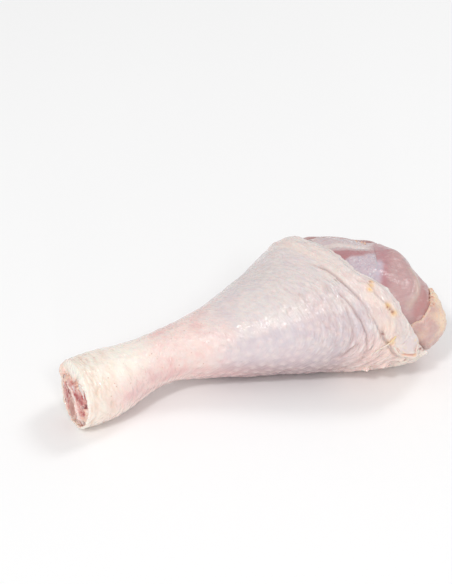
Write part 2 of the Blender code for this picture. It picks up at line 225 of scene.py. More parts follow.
def noise(first, second, third, seed):
    """Smooth noise from about -1 to 1, with lumps one unit apart."""
    random = np.random.default_rng(seed)
    table = random.permutation(256)
    slopes = random.normal(size=(256, 3))
    slopes /= np.linalg.norm(slopes, axis=1, keepdims=True)
    place_in = np.stack(np.broadcast_arrays(first, second, third), axis=-1).astype(float)
    base = np.floor(place_in).astype(int)
    inside = place_in - base
    fade = inside**3 * (inside * (inside * 6 - 15) + 10)
    total = 0.0
    for corner in product((0, 1), repeat=3):
        cell = (base + corner) & 255
        key = table[(table[(table[cell[..., 0]] + cell[..., 1]) & 255] + cell[..., 2]) & 255]
        weight = np.where(corner, fade, 1 - fade).prod(axis=-1)
        total = total + weight * (slopes[key] * (inside - corner)).sum(axis=-1)
    return 1.6 * total


def lumps(at, length, width, seed):
    """Noise at places (along, near, up), with lumps so many millimetres long and wide."""
    along, near, up = at
    return noise(along / length, near / width, up / width, seed)


def ring_noise(turns, waves, seed, third=0):
    """Noise round the leg; more waves make finer lumps."""
    return noise(waves * np.cos(turns), waves * np.sin(turns), third, seed)


def line_distance(first, second, line):
    """Distance of flat places from a line of (first, second) points."""
    points = np.array(line, float)
    nearest = np.inf
    for start, end in zip(points[:-1], points[1:]):
        way = end - start
        share = ((first - start[0]) * way[0] + (second - start[1]) * way[1]) / (way @ way)
        share = np.clip(share, 0, 1)
        gap = np.hypot(first - start[0] - share * way[0], second - start[1] - share * way[1])
        nearest = np.minimum(nearest, gap)
    return nearest


# ---------------------------------------------------------------- the leg's form


def section(along):
    """The outer form's row of numbers at a distance from the ankle."""
    return smooth_curve(along, STATIONS)


def crown(along, angle):
    """How far the crown stands out there."""
    rise = smooth_curve(np.clip(along, CROWN[0][0], CROWN[-1][0]), CROWN)
    away = (np.degrees(angle) - CROWN_ANGLE + 180) % 360 - 180
    return rise * bump(away, CROWN_WIDTH)


def reach(along, angle):
    """Distance from the section's middle to the outer form."""
    rows = section(along)
    cosine, sine = np.cos(angle), np.sin(angle)
    side = np.where(cosine > 0, rows[..., 2], rows[..., 3])
    height = np.where(sine > 0, rows[..., 4], rows[..., 5])
    power = np.where(sine > 0, SQUARENESS_ABOVE, SQUARENESS_BELOW)
    plain_form = (np.abs(cosine / side) ** power + np.abs(sine / height) ** power) ** (-1 / power)
    return plain_form + crown(along, angle)


def form_places(along, angle):
    """Places (along, near, up) on the outer form, for the patterns that lie on it."""
    radius = reach(along, angle)
    return along, radius * np.cos(angle), radius * np.sin(angle)


def slant(along, angle):
    """How much longer a depth is across the section than square to the outer form."""
    rise = reach(along + 0.5, angle) - reach(along - 0.5, angle)
    shift = section(along + 0.5)[..., :2] - section(along - 0.5)[..., :2]
    rise = rise - shift[..., 0] * np.cos(angle) + shift[..., 1] * np.sin(angle)
    return np.minimum(np.sqrt(1 + rise**2), MOST_SLANT)


def place(along, angle, radius, lift=0.0):
    """Point of the leg in metres; lift is how high a layer under the skin lies over the ground."""
    rows = section(along)
    out_y, out_z = -radius * np.cos(angle), radius * np.sin(angle)
    x = along - rows[..., 6] * out_y + rows[..., 7] * out_z
    y = rows[..., 0] + out_y
    z = rows[..., 1] + out_z - lift
    z = lift + np.maximum(0.5 * (z + np.sqrt(z * z + FLOOR_SOFTNESS**2)) - FLOOR_TRIM, 0)
    return np.stack([x * MM - MIDDLE_X, y * MM - MIDDLE_Y, z * MM], axis=-1)


def turned(angle):
    """Angle in degrees, from -180 to 180."""
    return (np.degrees(angle) + 180) % 360 - 180


def skin_rim(angle):
    """Where the skin ends at the knee, but for its ragged edge."""
    return smooth_curve(turned(angle), SKIN_RIM)


def flap_cover(along, angle):
    """1 where the fat flap lies over the meat, and 0 well clear of it."""
    degrees = turned(angle)
    high = smooth_curve(along, FLAP_HIGH_EDGE)
    across = step(degrees, FLAP_LOW_EDGE - 12, FLAP_LOW_EDGE - 4) * (1 - step(degrees, high, high + 7))
    return across * step(along, skin_rim(angle) - FLAP_TUCK - 9, skin_rim(angle) - FLAP_TUCK - 2)


def flap_depth(along, angle):
    """How deep the flap lies: under the skin as far as the rim, and in the open beyond it."""
    return (SKIN_WALL + 0.5) * (1 - step(along, skin_rim(angle) + 1, skin_rim(angle) + 9))


def meat_depth(along, angle):
    """How deep the meat's surface lies under the outer form."""
    bare = step(along, skin_rim(angle) + 1, skin_rim(angle) + 11)
    plain = MEAT_UNDER_SKIN + (MEAT_IN_THE_OPEN - MEAT_UNDER_SKIN) * bare
    covered = flap_depth(along, angle) + FLAP_WALL + FLAP_GAP + FLAP_END_GAP * step(along, 208, 218)
    return plain + (np.maximum(covered, plain) - plain) * flap_cover(along, angle)


# ---------------------------------------------------------------- meshes


def circle(count):
    """Angles evenly spaced round the leg."""
    return np.linspace(0, 2 * np.pi, count, endpoint=False)


def add_object(name, data):
    made = bpy.data.objects.new(name, data)
    bpy.context.scene.collection.objects.link(made)
    return made


def grid_faces(rows, columns, wrap_rows):
    """Faces of a grid of points whose rows are closed rings."""
    numbers = np.arange(rows * columns).reshape(rows, columns)
    if wrap_rows:
        numbers = np.vstack([numbers, numbers[:1]])
    numbers = np.hstack([numbers, numbers[:, :1]])
    corners = (numbers[:-1, :-1], numbers[1:, :-1], numbers[1:, 1:], numbers[:-1, 1:])
    return np.stack(corners, axis=-1).reshape(-1, 4)


def faces_out(points, faces):
    """The same faces, turned over if they would point into the closed shape."""
    a, b, c, d = (points[faces[:, k]] for k in range(4))
    volume = (a * (np.cross(b, c) + np.cross(c, d))).sum()
    return faces if volume > 0 else faces[:, ::-1]


def new_piece(name, points, finish, masks=None, wrap_rows=False):
    """Object from a grid of points in metres, with a number on every point for each mask."""
    faces = grid_faces(*points.shape[:2], wrap_rows)
    points = points.reshape(-1, 3)
    mesh = bpy.data.meshes.new(name)
    mesh.from_pydata(points.tolist(), [], faces_out(points, faces).tolist())
    for label, values in (masks or {}).items():
        layer = mesh.attributes.new(label, "FLOAT", "POINT")
        layer.data.foreach_set("value", np.asarray(values, np.float32).ravel())
    mesh.materials.append(finish)
    piece = add_object(name, mesh)
    close_poles(piece)
    mesh.shade_smooth()
    return piece


def close_poles(piece):
    """Joins the points that lie on one another, so that every loft ends in a closed fan."""
    shape = bmesh.new()
    shape.from_mesh(piece.data)
    bmesh.ops.remove_doubles(shape, verts=shape.verts, dist=1e-7)
    shape.to_mesh(piece.data)
    shape.free()


def dome(ring, push, rings):
    """Loops that close a ring of points with a low dome; push is the dome's height as a vector."""
    middle = ring.mean(axis=0)
    turns = np.linspace(0, np.pi / 2, rings + 1)[1:]
    return [middle + (ring - middle) * np.cos(t) + np.asarray(push) * np.sin(t) for t in turns]


# ---------------------------------------------------------------- geometry nodes

NUMBER = "NodeSocketFloat"
WHOLE_NUMBER = "NodeSocketInt"
LOBULE_SIZES = (0.45, 1.25)
FULL_TURNS = (6.28, 6.28, 6.28)


class Recipe:
    """A tree of geometry nodes with named inputs."""

    def __init__(self, name, **inputs):
        self.tree = bpy.data.node_groups.new(name, "GeometryNodeTree")
        self.socket("Geometry", "NodeSocketGeometry", "INPUT")
        for label, kind in inputs.items():
            self.socket(label, kind, "INPUT")
        self.socket("Finish", "NodeSocketMaterial", "INPUT")
        self.socket("Geometry", "NodeSocketGeometry", "OUTPUT")
        self.given = self.tree.nodes.new("NodeGroupInput").outputs

    def socket(self, label, kind, in_out):
        self.tree.interface.new_socket(label, in_out=in_out, socket_type=kind)

    def node(self, kind, inputs, **settings):
        """Adds a node; inputs holds what feeds each socket, by its name or number."""
        made = self.tree.nodes.new(kind)
        for name, value in settings.items():
            setattr(made, name, value)
        for key, value in inputs.items():
            if isinstance(value, bpy.types.NodeSocket):
                self.tree.links.new(value, made.inputs[key])
            else:
                made.inputs[key].default_value = value
        return made.outputs

    def math(self, operation, first, second):
        return self.node("ShaderNodeMath", {0: first, 1: second}, operation=operation)[0]

    def mask(self, label):
        named = {"Name": label}
        return self.node("GeometryNodeInputNamedAttribute", named, data_type="FLOAT")["Attribute"]

    def scatter(self, share):
        """Points on the faces, nowhere closer than the spacing and as many as share says."""
        spacing = self.given["Spacing"]
        most = self.math("DIVIDE", 2.0, self.math("MULTIPLY", spacing, spacing))
        return self.node("GeometryNodeDistributePointsOnFaces", {
            "Mesh": self.given["Geometry"], "Distance Min": spacing, "Density Max": most,
            "Density Factor": share, "Seed": self.given["Seed"],
        }, distribute_method="POISSON")["Points"]

    def swell(self, geometry, height):
        """Moves every point outwards by the height."""
        normal = self.node("GeometryNodeInputNormal", {})[0]
        push = self.node("ShaderNodeVectorMath", {0: normal, "Scale": height}, operation="SCALE")[0]
        return self.node("GeometryNodeSetPosition", {"Geometry": geometry, "Offset": push})[0]

    def finish(self, geometry):
        """Ends the tree: instances made real, and the finish set on everything."""
        real = self.node("GeometryNodeRealizeInstances", {"Geometry": geometry})[0]
        paint = {"Geometry": real, "Material": self.given["Finish"]}
        painted = self.node("GeometryNodeSetMaterial", paint)[0]
        self.node("NodeGroupOutput", {"Geometry": painted})
        return self.tree


def bake(piece, tree, **values):
    """Runs a recipe on a piece and keeps the result as its plain mesh."""
    modifier = piece.modifiers.new(tree.name, "NODES")
    modifier.node_group = tree
    for item in tree.interface.items_tree:
        if item.in_out == "INPUT" and item.name in values:
            modifier[item.identifier] = values[item.name]
    layout = bpy.context.evaluated_depsgraph_get()
    mesh = bpy.data.meshes.new_from_object(
        piece.evaluated_get(layout), preserve_all_data_layers=True, depsgraph=layout
    )
    piece.modifiers.clear()
    piece.data = mesh
    return piece


def follicle_recipe():
    """Raises the skin round scattered follicles, as far as its goose mask says."""
    recipe = Recipe("follicles", Spacing=NUMBER, Width=NUMBER, Height=NUMBER, Seed=WHOLE_NUMBER)
    given = recipe.given
    goose = recipe.mask("goose")
    spread = recipe.scatter(recipe.math("GREATER_THAN", goose, 0.02))
    near = recipe.node("GeometryNodeProximity", {0: spread}, target_element="POINTS")["Distance"]
    dome = recipe.node("ShaderNodeMapRange", {
        "Value": near, "From Min": 0.0, "From Max": given["Width"], "To Min": 1.0, "To Max": 0.0,
    }, interpolation_type="SMOOTHSTEP")[0]
    raised = recipe.math("MULTIPLY", dome, goose)
    kept = recipe.node("GeometryNodeStoreNamedAttribute", {
        "Geometry": given["Geometry"], "Name": "follicle", "Value": raised,
    }, data_type="FLOAT", domain="POINT")[0]
    return recipe.finish(recipe.swell(kept, recipe.math("MULTIPLY", raised, given["Height"])))


def lobule_recipe():
    """Small soft lumps set on the faces, as close as their lobules mask says."""
    recipe = Recipe("lobules", Spacing=NUMBER, Size=NUMBER, Seed=WHOLE_NUMBER)
    given = recipe.given
    spread = recipe.scatter(recipe.mask("lobules"))
    ball = {"Radius": given["Size"], "Subdivisions": 2}
    lump = recipe.node("GeometryNodeMeshIcoSphere", ball)["Mesh"]
    sizes = {2: LOBULE_SIZES[0], 3: LOBULE_SIZES[1], "Seed": given["Seed"]}
    size = recipe.node("FunctionNodeRandomValue", sizes, data_type="FLOAT")[1]
    turn = recipe.node("FunctionNodeRandomValue", {1: FULL_TURNS}, data_type="FLOAT_VECTOR")[0]
    set_out = recipe.node("GeometryNodeInstanceOnPoints", {
        "Points": spread, "Instance": lump, "Scale": size, "Rotation": turn,
    })[0]
    real = recipe.node("GeometryNodeRealizeInstances", {"Geometry": set_out})[0]
    wave = recipe.node("ShaderNodeTexNoise", {"Scale": 900.0, "Detail": 1.0})["Fac"]
    height = recipe.math("MULTIPLY", recipe.math("SUBTRACT", wave, 0.5), given["Size"])
    moved = recipe.swell(real, height)
    return recipe.finish(recipe.node("GeometryNodeSetShadeSmooth", {"Geometry": moved})[0])


def scatter_lobules(name, carrier, finish, spacing, size, seed):
    """Lobules as a piece of their own, set on the faces of the piece that carries them."""
    piece = add_object(name, carrier.data.copy())
    sizes = {"Spacing": spacing * MM, "Size": size * MM}
    return bake(piece, lobule_recipe(), Finish=finish, Seed=seed, **sizes)


# ---------------------------------------------------------------- material nodes


def tint(red, green, blue):
    """Linear colour from screen values of 0 to 255."""
    return tuple(((c / 255 + 0.055) / 1.055) ** 2.4 for c in (red, green, blue)) + (1.0,)


class Finish:
    """A node material that is put together layer by layer."""

    def __init__(self, name, colour):
        self.material = bpy.data.materials.new(name)
        self.material.use_nodes = True
        self.tree = self.material.node_tree
        self.shader = self.tree.nodes["Principled BSDF"]
        self.colour = tint(*colour)
        self.relief = None
        self.wet_relief = None
        self.where = self.node("ShaderNodeTexCoord").outputs["Object"]

    def node(self, kind, **settings):
        made = self.tree.nodes.new(kind)
        for name, value in settings.items():
            setattr(made, name, value)
        return made

    def feed(self, socket, value):
        if isinstance(value, bpy.types.NodeSocket):
            self.tree.links.new(value, socket)
        else:
            socket.default_value = value

    def math(self, operation, first, second=0.0):
        made = self.node("ShaderNodeMath", operation=operation)
        self.feed(made.inputs[0], first)
        self.feed(made.inputs[1], second)
        return made.outputs[0]

    def times(self, first, *others):
        for other in others:
            first = self.math("MULTIPLY", first, other)
        return first

    def mask(self, label):
        return self.node("ShaderNodeAttribute", attribute_name=label).outputs["Fac"]

    def range(self, value, low, high, to_low=0.0, to_high=1.0):
        """Stretches what lies from low to high over to_low to to_high, with soft ends."""
        made = self.node("ShaderNodeMapRange", interpolation_type="SMOOTHSTEP")
        for name, given in (("Value", value), ("From Min", low), ("From Max", high)):
            self.feed(made.inputs[name], given)
        made.inputs["To Min"].default_value = to_low
        made.inputs["To Max"].default_value = to_high
        return made.outputs[0]

    def stretched(self, scale):
        """Coordinates for a pattern whose features are scale = (x, y, z) millimetres long."""
        made = self.node("ShaderNodeMapping")
        self.feed(made.inputs["Vector"], self.where)
        made.inputs["Scale"].default_value = [1 / (size * MM) for size in scale]
        return made.outputs[0]

    def grain(self, scale, detail=2.0, distortion=0.0):
        """Noise with features so many millimetres long, or (x, y, z) millimetres."""
        scale = scale if isinstance(scale, tuple) else (scale,) * 3
        made = self.node("ShaderNodeTexNoise")
        self.feed(made.inputs["Vector"], self.stretched(scale))
        made.inputs["Scale"].default_value = 1.0
        made.inputs["Detail"].default_value = detail
        made.inputs["Distortion"].default_value = distortion
        return made.outputs["Fac"]

    def fold_grain(self, across, beside, detail=2.0):
        """Noise in streaks that run with the skin's folds, in millimetres across and beside them."""
        apart = self.node("ShaderNodeSeparateXYZ")
        self.feed(apart.inputs[0], self.where)
        joined = self.node("ShaderNodeCombineXYZ")
        self.feed(joined.inputs[0], self.math("DIVIDE", self.mask("fold_way"), across))
        self.feed(joined.inputs[1], self.math("DIVIDE", apart.outputs["Y"], beside * MM))
        self.feed(joined.inputs[2], self.math("DIVIDE", apart.outputs["Z"], beside * MM))
        made = self.node("ShaderNodeTexNoise")
        self.feed(made.inputs["Vector"], joined.outputs[0])
        made.inputs["Scale"].default_value = 1.0
        made.inputs["Detail"].default_value = detail
        return made.outputs["Fac"]

    def cells(self, size, feature="F1"):
        """A pattern of cells so many millimetres apart."""
        made = self.node("ShaderNodeTexVoronoi", feature=feature)
        self.feed(made.inputs["Vector"], self.stretched((size,) * 3))
        made.inputs["Scale"].default_value = 1.0
        return made.outputs

    def layer(self, factor, colour):
        """Lays a colour over what is there, as far as factor says."""
        made = self.node("ShaderNodeMix", data_type="RGBA")
        sockets = {socket.identifier: socket for socket in made.inputs}
        self.feed(sockets["Factor_Float"], factor)
        self.feed(sockets["A_Color"], self.colour)
        self.feed(sockets["B_Color"], tint(*colour))
        self.colour = next(out for out in made.outputs if out.identifier == "Result_Color")

    def over(self, label, share, colour):
        """Lays a colour over the area of a mask."""
        self.layer(self.times(self.mask(label), share), colour)

    def patches(self, grain, low, high, colour, most=1.0):
        """Lays a colour over the strong spots of a noise."""
        self.layer(self.range(self.grain(*grain), low, high, 0, most), colour)

    def uneven(self, grain, low, high):
        """A roughness that wanders from low to high."""
        return self.range(self.grain(*grain), 0.3, 0.7, low, high)

    def bumps(self, grain, distance, strength):
        """Adds the relief of a noise."""
        self.raise_by(self.grain(*grain), distance, strength)

    def raise_by(self, height, distance, strength):
        """Adds fine relief: height from 0 to 1, distance in millimetres."""
        made = self.node("ShaderNodeBump")
        made.inputs["Strength"].default_value = strength
        made.inputs["Distance"].default_value = distance * MM
        self.feed(made.inputs["Height"], height)
        if self.relief:
            self.feed(made.inputs["Normal"], self.relief)
        self.relief = made.outputs[0]

    def done(self, roughness, flesh=0.0, depth=(3.0, 1.2, 0.9), coat=(0.0, 0.15), shine=0.5):
        """Ends the material; coat is how much moist film lies on it and how rough that film is."""
        inputs = self.shader.inputs
        self.feed(inputs["Base Color"], self.colour)
        self.feed(inputs["Roughness"], roughness)
        inputs["Subsurface Weight"].default_value = flesh
        inputs["Subsurface Radius"].default_value = depth
        inputs["Subsurface Scale"].default_value = MM
        inputs["Coat Weight"].default_value, inputs["Coat Roughness"].default_value = coat
        inputs["Specular IOR Level"].default_value = shine
        if self.relief:
            self.feed(inputs["Normal"], self.relief)
            self.feed(inputs["Coat Normal"], self.wet_relief or self.relief)
        return self.material


# ---------------------------------------------------------------- skin

# Folds drawn one by one: depth, width and the line they follow, as (distance, angle) points.
FOLDS = (
    (1.1, 0.65, ((152, 84), (158, 72), (161.5, 60), (164, 52), (166.5, 44), (169, 37), (170.5, 31),
                 (171, 26))),
    (1.0, 0.6, ((171, 30), (173, 22), (174.5, 16), (175.5, 12), (176, 7))),
    (0.9, 0.7, ((158, 50), (160, 42), (163, 34), (166, 23), (168, 12), (168, 0), (163, -10))),
    (0.7, 0.7, ((157, 44), (160, 34), (160, 24), (161, 12), (157, 0), (150, -9))),
    (0.8, 0.6, ((175.5, 55), (176.5, 50), (178, 40), (180, 34), (183, 29), (184.5, 22), (186.5, 17))),
    (0.9, 0.7, ((165, 12), (162, 6), (157, -3), (150, -12))),
    (0.7, 0.7, ((173, 14), (171, 4), (166, -8), (159, -17))),
    (0.7, 0.7, ((179, -3), (175, -10), (168, -19), (162, -25))),
    (0.5, 0.7, ((172, -2), (165, -12), (157, -20))),
    (1.4, 0.8, ((177, 20), (176.5, 13), (177, 8), (179.5, 3), (181, -1), (182.5, -5), (186, -10),
                (192, -12.5))),
)
# Millimetres on the skin for one degree round the leg.
DEGREE_LENGTH = 0.87

# Spots on the skin, as (distance, angle, size).
YELLOW_FAT = (
    (176, 44, 1.6), (177.5, 47, 1.8), (179, 50, 1.3), (182, 30, 2.0), (184, 24, 2.0), (181, 5, 1.8),
)
RED_SPOTS = (
    (181.5, 29, 0.7), (182.5, 27.2, 0.6), (183.4, 25.2, 0.8), (178, 50, 0.6), (177, 11, 0.6),
    (194.5, -4, 0.9), (197.5, -5, 0.9), (199.5, -7, 0.7), (190.5, -15, 0.7), (187, -15.5, 0.6),
    (194, -16, 0.6), (184, -16, 0.5),
)
BLUSHES = (
    (32, 4, 9), (59, -8, 10), (50, 7, 9), (90, -32, 16), (74, -12, 10), (40, -16, 8), (66, 150, 12),
    (96, 210, 14),
)
LOBES = ((180, -21, 2.4), (171, -25, 1.9))
DENTS = ((186, -19, 3.6), (175, -22, 2.2))

FOLLICLES = {"Spacing": 4.3 * MM, "Width": 3.0 * MM, "Height": 0.55 * MM}


def distance_to_line(along, angle, line):
    """Distance on the skin in millimetres from a line of (distance, angle) points."""
    flat = np.array(line, float) * (1.0, DEGREE_LENGTH)
    return line_distance(along, turned(angle) * DEGREE_LENGTH, flat)


def spots(along, angle, places):
    """1 in the middle of each (distance, angle, size) spot, and 0 well outside them."""
    total = np.zeros(np.shape(along))
    for at, degrees, size in places:
        away = ((turned(angle) - degrees + 180) % 360 - 180) * DEGREE_LENGTH
        total = np.maximum(total, bump(np.hypot(along - at, away), size))
    return total


def rim_line(angle):
    """Where the skin really ends: the rim with its ragged edge and the tip of its lower lip."""
    ragged = ring_noise(angle, 9, 11) + 0.7 * ring_noise(angle, 27, 12)
    return skin_rim(angle) + ragged + smooth_curve(turned(angle), RIM_SHIFT)


def ridges(value, valley):
    """0 in the sharp valleys of a noise and nearly 1 on its rounded ridges."""
    return 1 - np.exp(-np.abs(value) / valley)


def ankle_wrinkles(at, angle):
    """Fine rings close together at the cut, and a loose net of lines further up."""
    along, y, z = at
    wander = along + 1.6 * lumps(at, 8, 7, 21)
    fine = ridges(lumps((wander, y, z), 2.4, 9, 22), 0.2) - 1
    coarse = ridges(lumps((wander, y, z), 4.4, 12, 23), 0.16) - 1
    near_cut = 1 - step(along, 16, 30)
    height = near_cut * (0.3 * fine + 0.4 * coarse)
    for start, depth, width in ANKLE_RINGS:
        drift = 1.5 * np.sin(2 * angle + start) + 1.2 * noise(y / 7, z / 7, 0, 24)
        broken = np.clip(0.5 + 1.3 * noise(y / 9, z / 9, start, 25), 0, 1)
        height = height - depth * broken * bump(along - start - drift, width)
    return height


def fold_way(along, angle):
    """Place across the folds, which lean back with the rim above and swing under the belly below."""
    above = turned(angle) - 20
    lean = np.where(above > 0, 0.05 * above + 0.0035 * above**2, 0.014 * above**2)
    return along + 30 * np.tanh(lean / 30) * step(along, 50, 100)


def rim_folds(at, angle):
    """Folds that run beside the rim: loose ones by rule and the longest ones along their own lines."""
    along, y, z = at
    to_rim = skin_rim(angle) - along
    near = between(turned(angle), -60, 50, 24)
    where = between(to_rim, 7, 40, 18) * (0.35 + 0.65 * near)
    way = fold_way(along, angle) + 1.8 * lumps(at, 13, 13, 31)
    loose = ridges(lumps((way, y, z), 3.5, 20, 32), 0.16) - 1
    small = ridges(lumps((way, y, z), 1.9, 10, 33), 0.15) - 1
    height = where * (0.75 * loose + 0.55 * small)
    for gap, here, width in drawn_folds(along, angle):
        height = height - here * bump(gap, width) + 0.2 * here * bump(gap - 2.4, 1.6)
    return height


def drawn_folds(along, angle):
    """For each drawn fold: the distance from it, its depth, which fades at its ends, and its width."""
    for depth, width, line in FOLDS:
        ends = [(at, degrees, 6.0) for at, degrees in (line[0], line[-1])]
        here = depth * (1 - 0.9 * spots(along, angle, ends))
        yield distance_to_line(along, angle, line), here, width


def skin_relief(along, angle):
    """Height of all folds, wrinkles and lumps of the skin, and the depth of its valleys."""
    at = form_places(along, angle)
    to_rim = skin_rim(angle) - along
    wrinkles = ankle_wrinkles(at, angle) + rim_folds(at, angle)
    on_belly = step(along, 60, 90) * step(to_rim, 4, 20)
    waves = np.sin(along / 8.5 + 2 * np.sin(angle)) * np.sin(3.3 * angle + along / 21)
    soft = 0.35 * (1 + waves) * on_belly + 0.4 * lumps(at, 17, 17, 41)
    fat = 1.0 + 0.7 * lumps(at, 5, 7, 42) + 0.3 * lumps(at, 2.2, 2.6, 43)
    fat = fat * between(to_rim, 2.5, 12, 3)
    near = step(np.cos(angle + 0.2), 0.7, 1.0)
    lip = 1.6 * step(-to_rim, -9, 0) * near
    lip = lip + 1.6 * step(-to_rim, -3, 4) * bump(turned(angle) + 12, 6) + 2.3 * spots(along, angle, LOBES)
    lip = lip - 1.2 * spots(along, angle, DENTS)
    thin_edge = (1 - step(to_rim, -0.5, 4)) * (1 - near)
    return wrinkles + soft + fat + lip - thin_edge, np.clip(-wrinkles, 0, 1.5)


def skin_masks(along, angle, valleys, goose):
    """Where each colour of the skin shows, painted shade and painted light among them; goose says where
    follicles stand up.
    """
    degrees = turned(angle)
    at = form_places(along, angle)
    to_rim = rim_line(angle) - along
    patchy = lumps(at, 8, 8, 51)
    torn = np.clip(0.85 + 0.5 * patchy, 0, 1)
    wide = lumps(at, 30, 24, 52)
    near_edge = to_rim + 2.5 * lumps(at, 9, 9, 53)
    upper = step(np.sin(angle), 0.1, 0.9)
    on_top = step(np.sin(angle), 0.2, 0.9)
    # The underside, where shade is painted into the colour.
    low = step(-np.sin(angle - 0.15), 0.0, 0.8)
    folds = drawn_folds(along, angle)
    # Depth of the drawn folds' creases, for their painted shade.
    folded = sum(here * bump(gap, 0.8 * width) for gap, here, width in folds)
    return {
        "ankle": 1 - step(along + 8 * wide - 20 * on_top, 7, 38),
        "shank": between(along + 14 * wide, 32, 64, 44),
        "blush": np.clip(spots(along, angle, BLUSHES) + 0.25 * wide, 0, 1),
        "blue": np.clip(between(along, 92, 158, 26) * between(degrees, -12, 22, 16) + 0.5 * wide, 0, 1),
        "upper": upper * step(along, 80, 120),
        # Painted shade: the belly's underside darker, cut back towards the knee end.
        "low": low * step(along, 60, 100) * (1 - 0.8 * step(along, 150, 176)),
        # A warmer tone with painted light on the underside near the knee end, where the painted shade is
        # cut back.
        "low_end_tone_and_painted_light": step(-np.sin(angle - 0.35), 0.0, 0.4) * step(along, 150, 172),
        "fat": between(near_edge, 6.5, 15, 3.5) * torn * (1 - 0.6 * upper),
        "margin": 1 - step(near_edge, 4.5, 9.5),
        # The lower lip's cream tone, lightened further by painted light on its shaded side.
        "lip": step(along, 184, 193) * between(degrees, -30, -6, 6) * np.clip(0.8 + 0.6 * patchy, 0, 1),
        "peach": bump(degrees - FAR_LOBE, 26) * (1 - step(along, 0.5, 8)) * torn,
        "yellow": spots(along, angle, YELLOW_FAT) * np.clip(0.8 + patchy, 0, 1),
        "red": spots(along, angle, RED_SPOTS),
        # Painted shade in the valleys of the wrinkles.
        "valley": np.clip(valleys, 0, 1),
        # Painted shade in the creases of the drawn folds.
        "fold": np.clip(folded, 0, 1),
        "fold_way": fold_way(along, angle),
        "near_rim": between(to_rim + 10 * wide, 7, 34, 50) * (1 - 0.6 * upper),
        "goose": goose,
    }


def ankle_roll(angle):
    """Half the wall of the skin rolled in at the ankle's cut: thick on top and uneven."""
    uneven = ring_noise(angle, 5, 15) + 0.6 * ring_noise(angle, 13, 16)
    return smooth_curve(turned(angle), ANKLE_WALL) * (1 + 0.3 * uneven)


def row_shares(count):
    """Shares of the way from ankle to rim, closest together where the skin is wrinkled."""
    fine = np.linspace(0, 1, 2001)
    spacing = 0.5 + 0.85 * step(fine, 0.15, 0.26) - 0.75 * step(fine, 0.68, 0.78)
    travelled = np.concatenate([[0.0], np.cumsum(1 / spacing[1:])])
    return np.interp(np.linspace(0, travelled[-1], count), travelled, fine)


def goose_mask(along, angle):
    """Where follicles stand up: most on the near belly, less on the far side and the shank."""
    belly = between(along, 72, 178, 16) * (0.35 + 0.65 * between(turned(angle), -90, 38, 24))
    belly = belly * step(skin_rim(angle) - along, 14, 34)
    return np.maximum(belly, 0.6 * between(along, 28, 72, 12))


def half_turns(rows):
    """Angles of the rows that carry the skin round an edge, as a column."""
    return np.linspace(0, np.pi, rows + 2)[1:-1, None]


def rolled_ankle(turns, along, radius):
    """Rows of the skin that rolls in at the ankle's cut, and how far each row faces inwards."""
    halves = half_turns(ROLL_ROWS)
    roll = ankle_roll(turns)
    uneven = 0.6 * ring_noise(turns, 4, 13) + 0.4 * ring_noise(turns, 11, 14)
    stands_out = ANKLE_ROLL + 0.12 * roll + uneven + 1.8 * bump(turned(turns) - FAR_LOBE, 22)
    crossed = 0.5 * ring_noise(turns, 13, 17, halves * 1.2)
    radius = radius - roll * (1 - np.cos(halves)) + crossed * np.sin(halves)
    along = along - (stands_out + 0.7 * crossed) * np.sin(halves)
    return along[::-1], radius[::-1], step(-np.cos(halves), -0.3, 0.8)[::-1]


def make_skin(finish):
    """A closed sleeve: outer face, rolled knee rim, inner face and the thick roll at the ankle."""
    turns = circle(SKIN_COLUMNS)
    angle, share = np.meshgrid(turns, row_shares(SKIN_OUTER_ROWS))
    along = ANKLE_START + (rim_line(angle) - ANKLE_START) * share
    relief, valleys = skin_relief(along, angle)
    lip_wall = RIM_WALL + (SKIN_WALL - RIM_WALL) * step(rim_line(angle) - along, 0, 7)
    outer = reach(along, angle) + relief
    inner = reach(along, angle) + np.where(share > 0.9, relief, 0) - lip_wall * slant(along, angle)

    halves = half_turns(RIM_ROWS)
    rim_radius = inner[-1] + 0.5 * (outer[-1] - inner[-1]) * (1 + np.cos(halves))
    rim_along = along[-1] + 0.4 * np.sin(halves)
    rows = np.linspace(SKIN_OUTER_ROWS - 1, 0, SKIN_INNER_ROWS).astype(int)
    ankle_along, ankle_radius, inwards = rolled_ankle(turns, along[0], outer[0])

    all_along = np.vstack([along, rim_along, along[rows], ankle_along])
    all_radius = np.vstack([outer, rim_radius, inner[rows], ankle_radius])
    all_angle = np.broadcast_to(turns, all_along.shape)
    under = len(rim_along) + len(rows)
    lift = [np.zeros_like(outer), np.ones((under, SKIN_COLUMNS)), np.zeros_like(ankle_radius)]
    points = place(all_along, all_angle, all_radius, np.vstack(lift))
    rest = np.zeros((len(all_along) - len(along), SKIN_COLUMNS))
    valleys, goose = np.vstack([valleys, rest]), np.vstack([goose_mask(along, angle), rest])
    masks = skin_masks(all_along, all_angle, valleys, goose)
    masks["inner_roll"] = np.zeros(all_along.shape)
    masks["inner_roll"][-len(inwards):] = inwards
    skin = new_piece("turkey_skin", points, finish, masks, wrap_rows=True)
    return bake(skin, follicle_recipe(), Finish=finish, Seed=7, **FOLLICLES)


